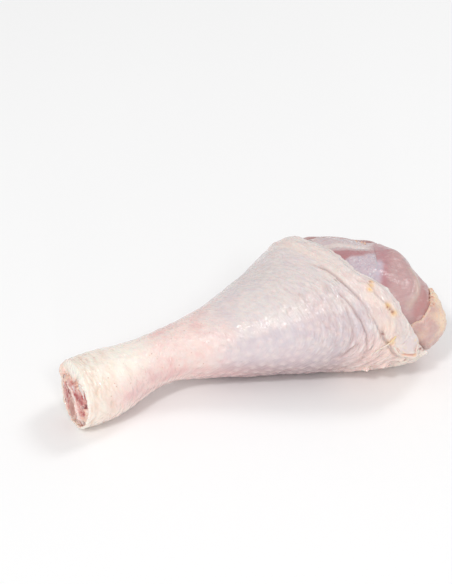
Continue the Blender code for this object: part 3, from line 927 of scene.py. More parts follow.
def skin_finish():
    skin = Finish("raw_skin", (227, 213, 212))
    ankle, shank, near_rim = (skin.mask(label) for label in ("ankle", "shank", "near_rim"))
    skin.patches((9, 4), 0.42, 0.62, (238, 225, 220))
    skin.over("upper", 0.75, (227, 218, 214))
    skin.layer(skin.range(skin.fold_grain(3.2, 9, 4), 0.45, 0.66, 0, 0.45), (214, 203, 209))
    skin.over("blue", 0.5, (208, 196, 207))
    # Painted shade: the underside darker.
    skin.over("low", 1.0, (163, 128, 132))
    # Painted light and a warmer tone on the underside near the knee end.
    skin.over("low_end_tone_and_painted_light", 0.95, (255, 224, 214))
    # Fine streaks beside the rim: painted shade in thin crease lines, and a painted highlight on the ridges
    # between them.
    streaks = skin.fold_grain(1.2, 6, 3)
    skin.layer(skin.times(skin.range(streaks, 0.5, 0.66), near_rim, 0.32), (200, 176, 178))
    skin.layer(skin.times(skin.range(streaks, 0.46, 0.34), near_rim, 0.45), (250, 243, 241))
    skin.over("shank", 0.85, (247, 220, 212))
    skin.layer(skin.times(skin.range(skin.grain(11, 4), 0.5, 0.66), shank, 0.75), (236, 192, 188))
    skin.layer(skin.times(skin.range(skin.grain(4.5, 3), 0.48, 0.62), shank, 0.45), (243, 204, 199))
    skin.over("ankle", 1.0, (255, 243, 231))
    skin.over("blush", 0.8, (228, 184, 183))
    skin.over("follicle", 0.5, (240, 224, 220))
    skin.over("fat", 0.8, (254, 229, 213))
    skin.over("margin", 0.75, (232, 220, 215))
    # Painted shade in the wrinkle valleys.
    skin.over("valley", 0.36, (216, 178, 174))
    # Painted shade in the creases of the drawn folds.
    skin.over("fold", 0.4, (168, 136, 136))
    # Painted shade in the ankle's wrinkle valleys, in a warmer tint.
    skin.layer(skin.times(skin.mask("valley"), ankle, 0.6), (238, 206, 178))
    # Painted light on the shaded lower lip, over its cream tone.
    skin.over("lip", 0.95, (255, 238, 226))
    skin.over("peach", 0.9, (248, 204, 184))
    skin.over("inner_roll", 0.7, (242, 206, 192))
    skin.over("yellow", 0.85, (246, 196, 104))
    skin.over("red", 0.95, (150, 60, 44))
    cells = skin.cells(3.2)
    rare = skin.range(cells["Color"], 0.52, 0.54)
    pores = skin.times(skin.range(cells["Distance"], 0.17, 0.09), rare, shank, 0.55)
    skin.layer(pores, (200, 140, 118))
    skin_bumps(skin, ankle, shank, near_rim)
    rough = skin.uneven((4, 3), 0.32, 0.5)
    return skin.done(rough, flesh=0.3, depth=(2.0, 0.9, 0.7), coat=(0.8, 0.07))


def skin_bumps(skin, ankle, shank, near_rim):
    """Fine relief of the skin; the moist film on it has coarser waves of its own."""
    skin.raise_by(skin.times(skin.fold_grain(1.0, 9, 3), near_rim), 1.4, 0.9)
    skin.raise_by(skin.times(skin.fold_grain(1.5, 7, 3), ankle), 0.6, 0.6)
    net = skin.cells(1.8, "DISTANCE_TO_EDGE")["Distance"]
    skin.raise_by(skin.times(net, skin.math("MAXIMUM", ankle, shank)), 0.35, 0.5)
    under_film = skin.relief
    skin.raise_by(skin.fold_grain(2.3, 4.6, 1), 1.7, 0.85)
    skin.wet_relief = skin.relief
    skin.relief = under_film
    smoother = skin.times(skin.math("MAXIMUM", ankle, skin.mask("fat")), 0.65)
    calm = skin.math("SUBTRACT", 1.0, smoother)
    calm = skin.math("SUBTRACT", calm, skin.times(skin.mask("upper"), 0.3))
    skin.raise_by(skin.times(skin.fold_grain(1.6, 3, 2), calm), 1.3, 0.7)
    skin.raise_by(skin.times(skin.grain(0.9, 2), calm), 0.4, 0.4)


# ---------------------------------------------------------------- muscles


def bone_radius(along):
    """Largest radius of the bone, or of the cartilage that rounds off its end."""
    rows = smooth_curve(np.minimum(along, BONE[-1][0]), BONE)
    share = np.clip((along - CARTILAGE_START) / CARTILAGE_LENGTH, 0, 1)
    return rows.max(axis=-1) * np.sqrt(1 - CARTILAGE_TAPER * share**4)


def muscle_row(along, lines, shrink, arc_points, relief):
    """Angles and places of one loop of a muscle: its outer face between two parting lines, and its back."""
    back_points = arc_points // 3
    first, second = (np.radians(smooth_curve(along, line)) for line in lines)
    inner = bone_radius(along) + 0.3 + 0.3 * shrink
    spread_out = reach(along, np.linspace(first, second, arc_points)) - 2
    edge = (PARTING + 0.35 * shrink) / spread_out
    across = np.concatenate([[0.0], np.linspace(0.0015, 0.9985, arc_points - 2), [1.0]])
    angles = first + edge[0] + (second - edge[-1] - first - edge[0]) * across
    spread = np.minimum(angles - first, second - angles) * spread_out
    groove = GROOVE_DEPTH * step(along, 150, 190) * bump(spread, GROOVE_WIDTH)
    depth = meat_depth(along, angles)
    lies = np.full(arc_points, along)
    outer = reach(lies, angles) - (depth + groove) * slant(lies, angles) - shrink + relief(lies, angles)
    outer = np.maximum(outer, inner + 1.2)
    inward = (PARTING + 0.35 * shrink) / inner
    turns = np.concatenate([angles, np.linspace(second - inward, first + inward, back_points)])
    radii = np.concatenate([outer, np.full(back_points, inner)])
    lifts = np.concatenate([depth, np.full(back_points, depth.max())])
    return turns, place(np.full(len(turns), along), turns, radii, lifts)


def muscle_rows(lines, end, blunt, arc_points, relief):
    """Loops of a muscle up to its rounded end, and each point's distance and angle."""
    rounded = end - blunt * (1 - np.sin(np.linspace(0, np.pi / 2, END_ROWS)))
    far_apart = np.arange(MUSCLE_START, CLOSE_ROWS, FAR_SPACING)
    close = np.arange(CLOSE_ROWS, rounded[0] - 0.5, CLOSE_SPACING)
    alongs = np.concatenate([far_apart, close, rounded])
    rows = []
    for along in alongs:
        turn = max(0.0, (along - (end - blunt)) / blunt)
        shrink = blunt * (1 - math.sqrt(max(0.0, 1 - turn**2)))
        rows.append(muscle_row(along, lines, shrink, arc_points, relief))
    angle = np.array([turns for turns, _ in rows])
    return [loop for _, loop in rows], np.broadcast_to(alongs[:, None], angle.shape), angle


def make_muscle(name, lines, end, blunt, arc_points, push, relief, masks, finish):
    loops, along, angle = muscle_rows(lines, end, blunt, arc_points, relief)
    tail = dome(loops[-1], (push * MM, 0, 0), 6)
    head = dome(loops[0], (-0.0005, 0, 0), 2)[::-1]
    along, angle = (
        np.vstack([grid[:1]] * len(head) + [grid] + [grid[-1:]] * len(tail)) for grid in (along, angle)
    )
    return new_piece(name, np.array(head + loops + tail), finish, masks(along, angle))


# The big muscle: the pale line round its lobe as (distance, angle) pairs, where the lobe ends as
# (angle, distance) pairs, and the knob on its shoulder as (distance, angle, size).
PALE_EDGE = ((210, 58), (209.5, 50), (208.5, 44), (206, 38), (203.5, 33), (200, 30), (195, 26))
LOBE_BORDER = ((20, 193), (27, 196), (33, 203), (40, 207), (60, 211))
KNOB = (207, 86, 10)


def lobe_border(degrees):
    """Where the muscle's near lobe ends; beyond it the meat lies deeper."""
    return smooth_curve(np.clip(degrees, LOBE_BORDER[0][0], LOBE_BORDER[-1][0]), LOBE_BORDER)


def big_muscle_relief(along, angle):
    at = form_places(along, angle)
    edge = distance_to_line(along, angle, PALE_EDGE)
    fibre = lumps(at, 22, 1.6, 61)
    swells = lumps(at, 16, 13, 62)
    knob = 2.2 * spots(along, angle, (KNOB,))
    drop = 1.8 * step(along - lobe_border(turned(angle)), 0, 5) * between(turned(angle), 46, 72, 12)
    return knob - drop + 0.6 * swells + 0.05 * fibre + 0.35 * bump(edge, 1.6) - 0.4 * bump(edge - 2.8, 1.8)


def big_muscle_masks(along, angle):
    degrees = turned(angle)
    past = distance_to_line(along, angle, NEAR_TOP_LINE)
    at = form_places(along, angle)
    wavy = 2.5 * lumps(at, 8, 8, 66)
    edge = distance_to_line(along, angle, PALE_EDGE)
    return {
        "lens": (1 - step(past + 0.5 * wavy, 1.5, 6)) * between(degrees, 48, 72, 5),
        "rosy": between(past + wavy, 1, 6, 5) * between(degrees, 30, 110, 10),
        "edge": bump(edge + 0.5 * wavy, 2.2),
        "beyond": step(along - lobe_border(degrees), 1, 5) * between(degrees, 5, 60, 8),
        "film": 0.5 * (1 - step(degrees, 20, 70)),
    }


def thin_relief(along, angle):
    at = form_places(along, angle)
    return 0.45 * lumps(at, 13, 10, 63) + 0.15 * lumps(at, 18, 1.7, 64)


# Low edge of the bare strip beside the silver film, as (distance, angle) pairs.
STRIP_LOW_EDGE = ((165, 82), (180, 86), (195, 92))


def upper_muscle_masks(along, angle):
    degrees = turned(angle)
    past = distance_to_line(along, angle, NEAR_TOP_LINE)
    at = form_places(along, angle)
    wavy = 3 * lumps(at, 7, 7, 65)
    low = smooth_curve(np.clip(along, 164, 200), FILM_LOW_EDGE)
    strip_low = smooth_curve(np.clip(along, 165, 195), STRIP_LOW_EDGE)
    return {
        "film": step(along, 164, 170) * between(degrees + wavy, 40, strip_low - 5, 5),
        "strip": between(degrees + wavy, strip_low, low - 3, 4) * step(along, 164, 170) * step(past, 1, 6),
        "rosy": (1 - step(past + wavy, 2, 8)) * step(degrees, 72, 84),
        "fascia": step(degrees - low, -3, 2) * step(past + wavy, 1, 6),
    }


def plain_masks(along, angle):
    return {}


MEAT_DEPTH = (3.0, 1.0, 0.8)


def meat_finish(name, base, deep):
    meat = Finish(name, base)
    fibres = meat.grain((12, 1.6, 1.6), 3, 0.3)
    meat.layer(meat.range(fibres, 0.38, 0.68), deep)
    meat.patches((6, 4), 0.5, 0.75, (206, 172, 169), 0.45)
    return meat


def finish_big_muscle():
    meat = meat_finish("pink_meat", (196, 158, 157), (188, 147, 147))
    meat.over("film", 0.45, (198, 168, 167))
    meat.over("rosy", 0.8, (186, 132, 138))
    meat.over("lens", 0.9, (202, 187, 198))
    meat.over("beyond", 0.8, (186, 134, 132))
    meat.over("edge", 0.6, (208, 188, 174))
    meat.patches(((9, 2.5, 4), 4, 0.6), 0.58, 0.72, (214, 190, 187), 0.45)
    meat.bumps(((10, 1.4, 1.4), 3), 0.25, 0.4)
    meat.bumps((4.5, 3), 1.2, 0.7)
    rough = meat.uneven((5, 2), 0.28, 0.46)
    return meat.done(rough, flesh=0.3, depth=MEAT_DEPTH, coat=(0.4, 0.13))


def finish_upper_muscle():
    meat = meat_finish("filmed_meat", (194, 152, 152), (184, 138, 139))
    meat.over("rosy", 0.8, (186, 132, 138))
    meat.over("film", 0.9, (206, 190, 198))
    film = meat.mask("film")
    meat.layer(meat.times(meat.range(meat.grain(1.3, 2), 0.5, 0.68), film), (190, 172, 184))
    meat.layer(meat.times(meat.range(meat.grain(0.9, 2), 0.56, 0.7), film), (224, 216, 218))
    meat.over("strip", 0.85, (180, 126, 130))
    meat.over("fascia", 0.8, (208, 190, 190))
    meat.bumps(((3, 0.9, 0.9), 3), 0.4, 0.5)
    meat.bumps((3.5, 3), 0.6, 0.5)
    rough = meat.uneven((5, 2), 0.25, 0.42)
    return meat.done(rough, flesh=0.3, depth=MEAT_DEPTH, coat=(0.6, 0.12))


def finish_dark_muscle():
    meat = meat_finish("dark_meat", (176, 112, 108), (142, 78, 78))
    meat.bumps(((10, 0.9, 0.9), 3), 0.4, 0.5)
    rough = meat.uneven((4, 2), 0.2, 0.36)
    return meat.done(rough, flesh=0.3, depth=MEAT_DEPTH, coat=(0.5, 0.12))


# ---------------------------------------------------------------- sheets of fat and film


def rounding(share, width):
    """0 at a sheet's border and 1 inside it, round like the edge of a pad."""
    inside = np.clip(np.minimum(share, 1 - share) / width, 0, 1)
    return np.sqrt(1 - (1 - inside) ** 2)


def edge_shares(count, width):
    """Shares from 0 to 1 that crowd together at both ends."""
    t = np.linspace(0, np.pi, count)
    return (1 - width) * np.linspace(0, 1, count) + width * 0.5 * (1 - np.cos(t))


def make_sheet(name, along, angle, middle, half, lift, finish, masks):
    """A closed pad round a grid of places: middle is its radius there, half its half thickness."""
    top = place(along, angle, middle + half, lift)
    bottom = place(along, angle, middle - half, lift)
    points = np.concatenate([top, bottom[:, ::-1]], axis=1)
    both = {label: np.concatenate([value, value[:, ::-1]], axis=1) for label, value in masks.items()}
    return new_piece(name, points, finish, both)


def torn_fat_finish():
    torn = Finish("torn_fat", (226, 184, 162))
    torn.patches((3, 3), 0.45, 0.62, (214, 162, 142))
    torn.patches((1.6, 2), 0.5, 0.66, (240, 206, 180))
    torn.bumps((0.8, 2), 0.2, 0.5)
    return torn.done(0.34, flesh=0.35, depth=(2.0, 1.1, 0.7), coat=(0.5, 0.12))


def make_flap(finish):
    rows, columns = 70, 170
    share, v = np.meshgrid(edge_shares(rows, 0.5), edge_shares(columns, 0.5), indexing="ij")
    low = np.radians(FLAP_LOW_EDGE)
    angle = np.radians(FLAP_LOW_EDGE + (20 - FLAP_LOW_EDGE) * v)
    for _ in range(3):
        start = skin_rim(angle) - FLAP_TUCK
        along = start + (FLAP_END - start) * share
        high = np.radians(smooth_curve(along, FLAP_HIGH_EDGE))
        angle = low + (high - low) * v
    radius = reach(along, angle)
    at = form_places(along, angle)
    y, z = at[1:]
    ragged = 1.2 * noise(y / 5, z / 5, 0, 71) + 0.6 * noise(y / 1.9, z / 1.9, 0, 77)
    ragged = ragged * step(share, 0.8, 1)
    high_edge = (1.3 * noise(along / 4, 0, 0, 72) + 0.8 * noise(along / 1.5, 0, 0, 78)) * step(v, 0.9, 1)
    angle = angle + np.radians(high_edge)
    depth = flap_depth(along, angle)
    lumpy = 0.6 * lumps(at, 6, 6, 73) + 0.5 * lumps(at, 2.6, 2.6, 74)
    edge = rounding(share, 0.05) * rounding(v, 0.018)
    half = edge * (FLAP_WALL / 2 + 0.2 + 0.3 * lumps(at, 9, 9, 75))
    settled = 0.7 * step(v, 0.9, 1.0)
    middle = radius - (depth + settled + FLAP_WALL / 2) * slant(along, angle)
    middle = middle + lumpy * edge * step(depth, 1.5, 0.2)
    yellow = step(along, 206, 217) * step(v, 0.6, 0.85) + 0.45 * lumps(at, 8, 8, 76)
    masks = {
        "yellow": np.clip(yellow, 0, 1),
        "brink": np.clip(1 - edge, 0, 1),
        "lobules": 0.8 * step(v, 0.96, 0.99) * step(along, 204, 212) + 0.25 * step(v, 0.985, 0.995),
    }
    half = half * slant(along, angle)
    return make_sheet("knee_flap", along + ragged, angle, middle, half, depth, finish, masks)


def flap_finish():
    fat = Finish("skin_fat", (208, 172, 166))
    fat.patches((5, 3), 0.4, 0.65, (220, 188, 180), 0.7)
    fat.over("yellow", 0.9, (248, 220, 192))
    veins = fat.range(fat.grain((3, 1.4, 1.4), 4, 0.8), 0.54, 0.66)
    fat.layer(fat.times(veins, 0.5), (214, 160, 150))
    crumbs = fat.range(fat.grain(3, 3), 0.55, 0.72)
    fat.layer(fat.times(crumbs, fat.mask("yellow")), (246, 202, 150))
    fat.over("brink", 0.8, (250, 226, 202))
    fat.bumps((2.2, 3), 1.0, 0.8)
    fat.bumps((0.9, 2), 0.4, 0.6)
    rough = fat.uneven((4, 2), 0.3, 0.48)
    return fat.done(rough, flesh=0.35, depth=(3.0, 1.6, 1.0), coat=(0.3, 0.2))


# ---------------------------------------------------------------- tongue, strand and silver film

# The tongue's middle and edge and the strand's line, as (distance, angle) points.
TONGUE_MIDDLE = (187, 3.5)
TONGUE_EDGE = (
    (194.5, 7), (190.5, 13), (187, 18), (183, 17), (179.5, 14), (178, 8.5), (180, 4), (182.3, -1),
    (184.5, -5.5), (188, -8.5), (192.5, -10.5), (196.5, -11), (195.2, -4), (195.8, 1),
)
STRAND = ((183, 9), (181, 6), (178.5, 3.5), (176, 2), (174, 0), (171.5, -3))


def closed_curve(points, count):
    """Smooth closed curve through points; it runs over three rounds and keeps the middle one."""
    rows = np.array(points * 3 + points[:1], float)
    rounds = len(points) * np.linspace(1, 2, count, endpoint=False)
    return smooth_curve(rounds, np.column_stack([np.arange(len(rows)), rows]))


def make_tongue(finish):
    """A folded tongue of skin that lies on the rim, with a thick rolled lower border."""
    edge = closed_curve(TONGUE_EDGE, 160)
    middle = np.array(TONGUE_MIDDLE, float)
    shares = np.sin(np.linspace(0, np.pi / 2, 40))[:, None]
    places = middle + shares[..., None] * (edge - middle)
    along, angle = places[..., 0], np.radians(places[..., 1])
    below = middle[1] - edge[:, 1]
    beyond = edge[:, 0] - middle[0]
    low = step(below, 1, 6)
    free = np.maximum(low, step(beyond, 3, 7) * (1 - step(-below, 5, 11)))
    roll = low * (0.9 * bump(shares - 0.9, 0.08) - 0.8 * bump(shares - 0.74, 0.07))
    degrees = places[..., 1]
    soft = 0.5 * noise(along / 4.5, degrees / 5, 0, 101)
    soft = soft + 0.35 * noise(along / 2, degrees / 2.4, 0, 102)
    blunt = np.sqrt(np.clip(1 - shares**10, 0, 1))
    lies = (1 - free) * shares**2
    rise = 0.9 * (1 - 0.6 * shares**2) - 1.1 * lies + (0.9 * free + roll + soft * (1 - lies)) * blunt
    ground = reach(along, angle) + 0.9 * step(along, 184, 194)
    top = place(along, angle, ground + rise)
    bottom = place(along, angle, ground - 0.9)
    points = np.concatenate([top, bottom[::-1]])
    masks = {
        "roll": np.broadcast_to(low * bump(shares - 0.92, 0.1), along.shape),
        "blue": between(along, 188, 194, 3) * between(np.degrees(angle), -1, 9, 4),
        "crease": np.broadcast_to(low * bump(shares - 0.76, 0.07), along.shape),
    }
    both = {label: np.concatenate([value, value[::-1]]) for label, value in masks.items()}
    return new_piece("skin_tongue", points, finish, both)


def tongue_finish():
    tongue = Finish("tongue_skin", (232, 214, 208))
    tongue.patches((4, 3), 0.42, 0.65, (236, 222, 214))
    tongue.over("blue", 0.5, (214, 203, 208))
    tongue.over("roll", 0.9, (252, 234, 220))
    tongue.over("crease", 0.7, (226, 156, 132))
    tongue.patches((5, 3), 0.6, 0.72, (244, 216, 170), 0.5)
    tongue.bumps(((2.4, 1.2, 1.2), 3), 0.5, 0.5)
    rough = tongue.uneven((3, 2), 0.3, 0.48)
    return tongue.done(rough, flesh=0.35, depth=(2.0, 1.1, 0.8), coat=(0.5, 0.12))


def make_strand(name, line, half_width, lift, finish):
    """A soft strand that lies on the skin along a line of (distance, angle) points."""
    rows = 60
    rounds = np.linspace(0, len(line) - 1, rows)
    places = smooth_curve(rounds, np.column_stack([np.arange(len(line)), np.array(line, float)]))
    along, angle = places[:, 0], np.radians(places[:, 1])
    middle = place(along, angle, reach(along, angle) + lift)
    way = np.gradient(middle, axis=0)
    way /= np.linalg.norm(way, axis=1, keepdims=True)
    out = middle - place(along, angle, reach(along, angle) - 5)
    out /= np.linalg.norm(out, axis=1, keepdims=True)
    side = np.cross(way, out)
    thin = half_width * (0.75 + 0.35 * noise(rounds * 1.7, 0, 0, 103))
    thin = thin * (1 - 0.5 * np.linspace(0, 1, rows))
    turns = circle(14)
    loops = []
    for k in range(rows):
        spread = np.cos(turns)[:, None] * side[k] + 0.7 * np.sin(turns)[:, None] * out[k]
        loops.append(middle[k] + thin[k] * MM * spread)
    first, last = (np.broadcast_to(loop.mean(axis=0), loop.shape) for loop in (loops[0], loops[-1]))
    points = np.array([first] + loops + [last])
    yellow = 1 - step(np.concatenate([[0], rounds, rounds[-1:]]), 0.6, 2.2)
    masks = {"yellow": np.repeat(yellow[:, None], points.shape[1], axis=1)}
    return new_piece(name, points, finish, masks)


def strand_finish():
    fat = Finish("yellow_fat", (244, 226, 214))
    fat.patches((2.5, 3), 0.45, 0.65, (238, 214, 190))
    fat.over("yellow", 0.75, (242, 206, 140))
    fat.bumps((1.2, 2), 0.3, 0.5)
    return fat.done(0.38, flesh=0.35, depth=(2.0, 1.3, 0.7), coat=(0.4, 0.15))


# The silver film: from where to where it reaches, and its edges as (distance, angle) pairs.
FILM_REACH = (164.0, 200.0)
FILM_LOW_EDGE = ((164, 96), (169, 101), (175, 98), (186, 94), (195, 95), (200, 98))
FILM_HIGH_EDGE = ((164, 124), (172, 121), (179, 124), (186, 117), (192, 119), (200, 108))


def make_film(finish):
    """A thin torn sheet of silver film on the top of the upper muscle."""
    rows, columns = 130, 110
    share, v = np.meshgrid(edge_shares(rows, 0.4), edge_shares(columns, 0.5), indexing="ij")
    along = FILM_REACH[0] + (FILM_REACH[1] - FILM_REACH[0]) * share
    low, high = smooth_curve(along, FILM_LOW_EDGE), smooth_curve(along, FILM_HIGH_EDGE)
    high = high + 2.6 * noise(along / 3.4, 0, 0, 111) + 1.2 * noise(along / 1.5, 0, 0, 112)
    low = low + 0.8 * noise(along / 5, 0, 0, 113)
    degrees = low + (high - low) * v
    along = along + 1.2 * noise(degrees / 5, 0, 0, 114) * step(share, 0.85, 1)
    angle = np.radians(degrees)
    curl = 0.6 * step(v, 0.7, 1.0) * (0.3 + noise(along / 4, 0, 0, 115))
    ripple = 0.3 * noise(along / 3.5, degrees / 9, 0, 116) + 0.15 * noise(along / 1.4, degrees / 4, 0, 117)
    edge = rounding(share, 0.03) * rounding(v, 0.05)
    sunk = 1.3 * (1 - step(v, 0.0, 0.35)) + 1.9 * step(share, 0.8, 1.0)
    depth = meat_depth(along, angle) - 0.5
    middle = reach(along, angle) - depth * slant(along, angle) + ripple + curl - sunk
    half = 0.12 + 0.33 * edge
    masks = {
        "torn": step(v, 0.82, 1.0),
        "low": between(v, 0.15, 0.3, 0.1),
        "red": step(noise(along / 3, degrees / 4, 0, 118), 0.35, 0.6) * step(v, 0.6, 0.9),
        "lobules": step(v, 0.86, 0.97) * step(along, 178, 190),
        "end": step(share, 0.72, 0.95) * (1 - step(v, 0.6, 0.85)),
    }
    return make_sheet("silver_film", along, angle, middle, half, depth, finish, masks)


def film_finish():
    film = Finish("silver_skin_film", (204, 187, 191))
    film.patches(((6, 2, 2), 3), 0.42, 0.62, (212, 193, 192))
    film.patches(((9, 1.5, 3), 3), 0.55, 0.7, (196, 158, 160), 0.6)
    film.over("low", 0.7, (226, 212, 206))
    film.over("torn", 0.6, (230, 214, 208))
    film.over("end", 0.8, (192, 148, 152))
    film.over("red", 0.8, (206, 132, 112))
    film.bumps(((4, 1.2, 1.2), 3), 0.4, 0.6)
    rough = film.uneven((3, 2), 0.24, 0.42)
    return film.done(rough, flesh=0.3, depth=(1.5, 0.8, 0.7), coat=(0.6, 0.12))


# ---------------------------------------------------------------- knee cartilage, bone and ankle


def make_cartilage(finish):
    turns = circle(96)
    shares = np.sin(np.linspace(0, np.pi / 2, 34))[:, None]
    wide = BONE[-1][1] * np.sqrt(1 - CARTILAGE_TAPER * shares**4)
    tall = BONE[-1][2] * np.sqrt(1 - CARTILAGE_TAPER * shares**4)
    notch = CARTILAGE_NOTCH * shares * (1 - 0.8 * shares**6) * bump(np.cos(turns), 0.45)
    out_y = (wide - 0.3 * notch) * np.cos(turns)
    out_z = (tall - notch) * np.sin(turns)
    along = CARTILAGE_START + CARTILAGE_LENGTH * shares - 0.6 * notch
    wave = 0.35 * noise(along / 6, out_y / 6, out_z / 6, 81)
    radius = np.hypot(out_y, out_z) + wave
    loops = list(place(along, np.arctan2(out_z, out_y), radius))
    points = np.array(dome(loops[0], (-0.0004, 0, 0), 2)[::-1] + loops + dome(loops[-1], (0.0012, 0, 0), 8))
    return new_piece("knee_cartilage", points, finish)


def cartilage_finish():
    cap = Finish("wet_cartilage", (226, 228, 232))
    cap.patches((8, 3), 0.45, 0.65, (212, 208, 212), 0.7)
    cap.patches((4, 3), 0.6, 0.75, (226, 196, 188), 0.6)
    cap.bumps((2.5, 2), 0.2, 0.4)
    return cap.done(0.22, flesh=0.4, depth=(2.0, 1.6, 1.4), coat=(0.5, 0.08))


def loft(name, loops, finish, push=0.0006):
    """Closes loops with a dome at both ends; the mask middle grows inwards on the first one."""
    head = dome(loops[0], (-push, 0, 0), 16)[::-1]
    points = np.array(head + list(loops) + dome(loops[-1], (push, 0, 0), 3))
    middle = np.zeros(points.shape[:2])
    middle[: len(head)] = 1 - np.cos(np.linspace(np.pi / 2, 0, len(head)))[:, None]
    return new_piece(name, points, finish, {"middle": middle})


def ring(along, out_y, out_z):
    """A loop of points across the leg, from places measured out from the section's middle."""
    return place(np.full(len(out_y), along), np.arctan2(out_z, out_y), np.hypot(out_y, out_z))


def make_bone(finish):
    """The bone; at the ankle it is slimmer and lies lower than further up."""
    alongs = np.concatenate([np.linspace(BONE[0][0] - 0.6, 20, 20), np.linspace(24, 205, 30)])
    turns = circle(64)
    loops = []
    for along in alongs:
        near_far, up_down = smooth_curve(along, BONE)
        ankle = 1 - step(along, 12, 66)
        out_y = near_far * (1 - 0.42 * ankle) * np.cos(turns)
        out_z = up_down * (1 - 0.15 * ankle) * np.sin(turns) - ANKLE_BONE_DROP * ankle
        loops.append(ring(along, out_y, out_z))
    return loft("leg_bone", loops, finish)


def bone_finish():
    bone = Finish("ankle_bone", (196, 138, 124))
    bone.patches((2.5, 3), 0.45, 0.65, (172, 112, 104), 0.8)
    bone.patches((1.2, 2), 0.6, 0.75, (160, 84, 78), 0.6)
    wavy = bone.math("ADD", bone.mask("middle"), bone.range(bone.grain(1.8, 2), 0.3, 0.7, -0.12, 0.12))
    bone.layer(bone.range(wavy, 0.3, 0.12), (222, 186, 172))
    bone.layer(bone.range(wavy, 0.55, 0.9, 0, 0.4), (170, 104, 96))
    bone.bumps((1.3, 3), 0.4, 0.6)
    return bone.done(0.4, flesh=0.2, depth=(1.5, 0.8, 0.6), coat=(0.2, 0.15))


def make_strap(finish):
    low, high = np.radians(STRAP_REACH)
    points_across = 29
    turns = np.linspace(low, high, points_across)
    angles = np.concatenate([turns, turns[::-1]])
    thin = STRAP_THICKNESS / 2 * (1 - 0.45 * np.linspace(-1, 1, points_across) ** 2)
    loops = []
    for along in np.linspace(CORE_START - 0.8, CORE_END, 60):
        middle = STRAP_PLACE * reach(along, turns)
        middle = middle + 0.35 * noise(turns * 4, along / 9, 0, 82)
        radii = np.concatenate([middle + thin, (middle - thin)[::-1]])
        loops.append(place(np.full(len(angles), along), angles, radii))
    return loft("flat_tendon", loops, finish)


def make_cord(name, angle, share, radius, finish):
    turns = circle(28)
    angle = math.radians(angle)
    loops = []
    for along in np.linspace(CORE_START - 0.8, CORE_END, 60):
        distance = share * reach(along, angle)
        out_y = distance * np.cos(angle) + radius * np.cos(turns)
        out_z = distance * np.sin(angle) + radius * np.sin(turns)
        loops.append(ring(along, out_y, out_z))
    return loft(name, loops, finish)


def tendon_finish():
    cord = Finish("white_tendon", (240, 228, 222))
    cord.patches(((8, 0.8, 0.8), 3), 0.4, 0.7, (228, 200, 194), 0.7)
    cord.bumps(((8, 0.6, 0.6), 2), 0.3, 0.5)
    return cord.done(0.32, flesh=0.3, depth=(1.5, 1.0, 0.8), coat=(0.35, 0.15))


# What shows at the ankle's cut: mask, half width, how far it stands out, and its line of (near, up)
# places.
ANKLE_PARTS = (
    ("fatty", 2.6, 0.5, ((-12, 2), (-8, 6), (-3, 9), (3, 11), (8, 9))),
    ("silver", 1.9, 0.9, ((-13.5, 2), (-13.5, -5), (-12.5, -11), (-9.5, -17))),
    ("dark", 1.2, -0.7, ((-8, 0), (-6, -1.7), (-3, -4), (-2, -6))),
    ("red", 1.4, 0.0, ((-10, -3), (-6, -6), (-5, -10))),
    ("pale", 1.2, 0.9, ((-5, 1.8), (0.4, 1), (3, -0.4), (6.4, -3.7), (9, -7))),
    ("silver", 1.5, 0.3, ((0.7, 4.1), (3.4, 3.2))),
    ("red", 2.2, 0.1, ((5.5, 1.0), (8.7, 1.6), (12.3, 0.5))),
    ("red", 1.6, 0.0, ((12, 5), (15, 6))),
    ("pale", 2.1, 1.2, ((8, -5), (9.6, -9.5), (10.6, -14.5))),
    ("dark", 0.6, -0.5, ((13, -2.5), (17, 1), (19, 2))),
    ("pale", 1.2, 0.4, ((17.5, -1.5), (18.5, -2))),
    ("fatty", 3.0, 0.6, ((17, -4), (17, -9), (14, -13))),
    ("dark", 1.5, -0.4, ((9.6, -16.5), (12.4, -14))),
    ("red", 1.0, 0.4, ((-6.5, -19), (-3, -21))),
    ("red", 1.0, 0.0, ((9, -18.5), (13, -17))),
    ("dark", 0.8, 0.0, ((-9.5, -12), (-8.5, -15))),
    ("red", 0.8, 0.2, ((14, -9), (15, -4))),
    ("fatty", 2.0, 0.8, ((0, -22), (6, -21), (13, -17.5), (17, -12))),
)


def wander(near, up, seed):
    """Shift of a place on the ankle's cut that keeps the parts from having even borders."""
    return 1.2 * noise(near / 4, up / 4, 0, seed) + 0.6 * noise(near / 1.6, up / 1.6, 0, seed + 1)


def ankle_part(near, up, kind):
    """How far the face stands out for all parts of a kind, and where they show."""
    height, shows = 0.0, 0.0
    near, up = near + wander(near, up, 97), up + wander(near, up, 99)
    for part, width, rise, line in ANKLE_PARTS:
        if part != kind:
            continue
        nearest = line_distance(near, up, line) + 0.4 * noise(near / 1.1, up / 1.1, 0, 96)
        height = height + rise * bump(nearest, width)
        shows = np.maximum(shows, 1 - step(nearest, 0.4 * width, 1.35 * width))
    return height, shows


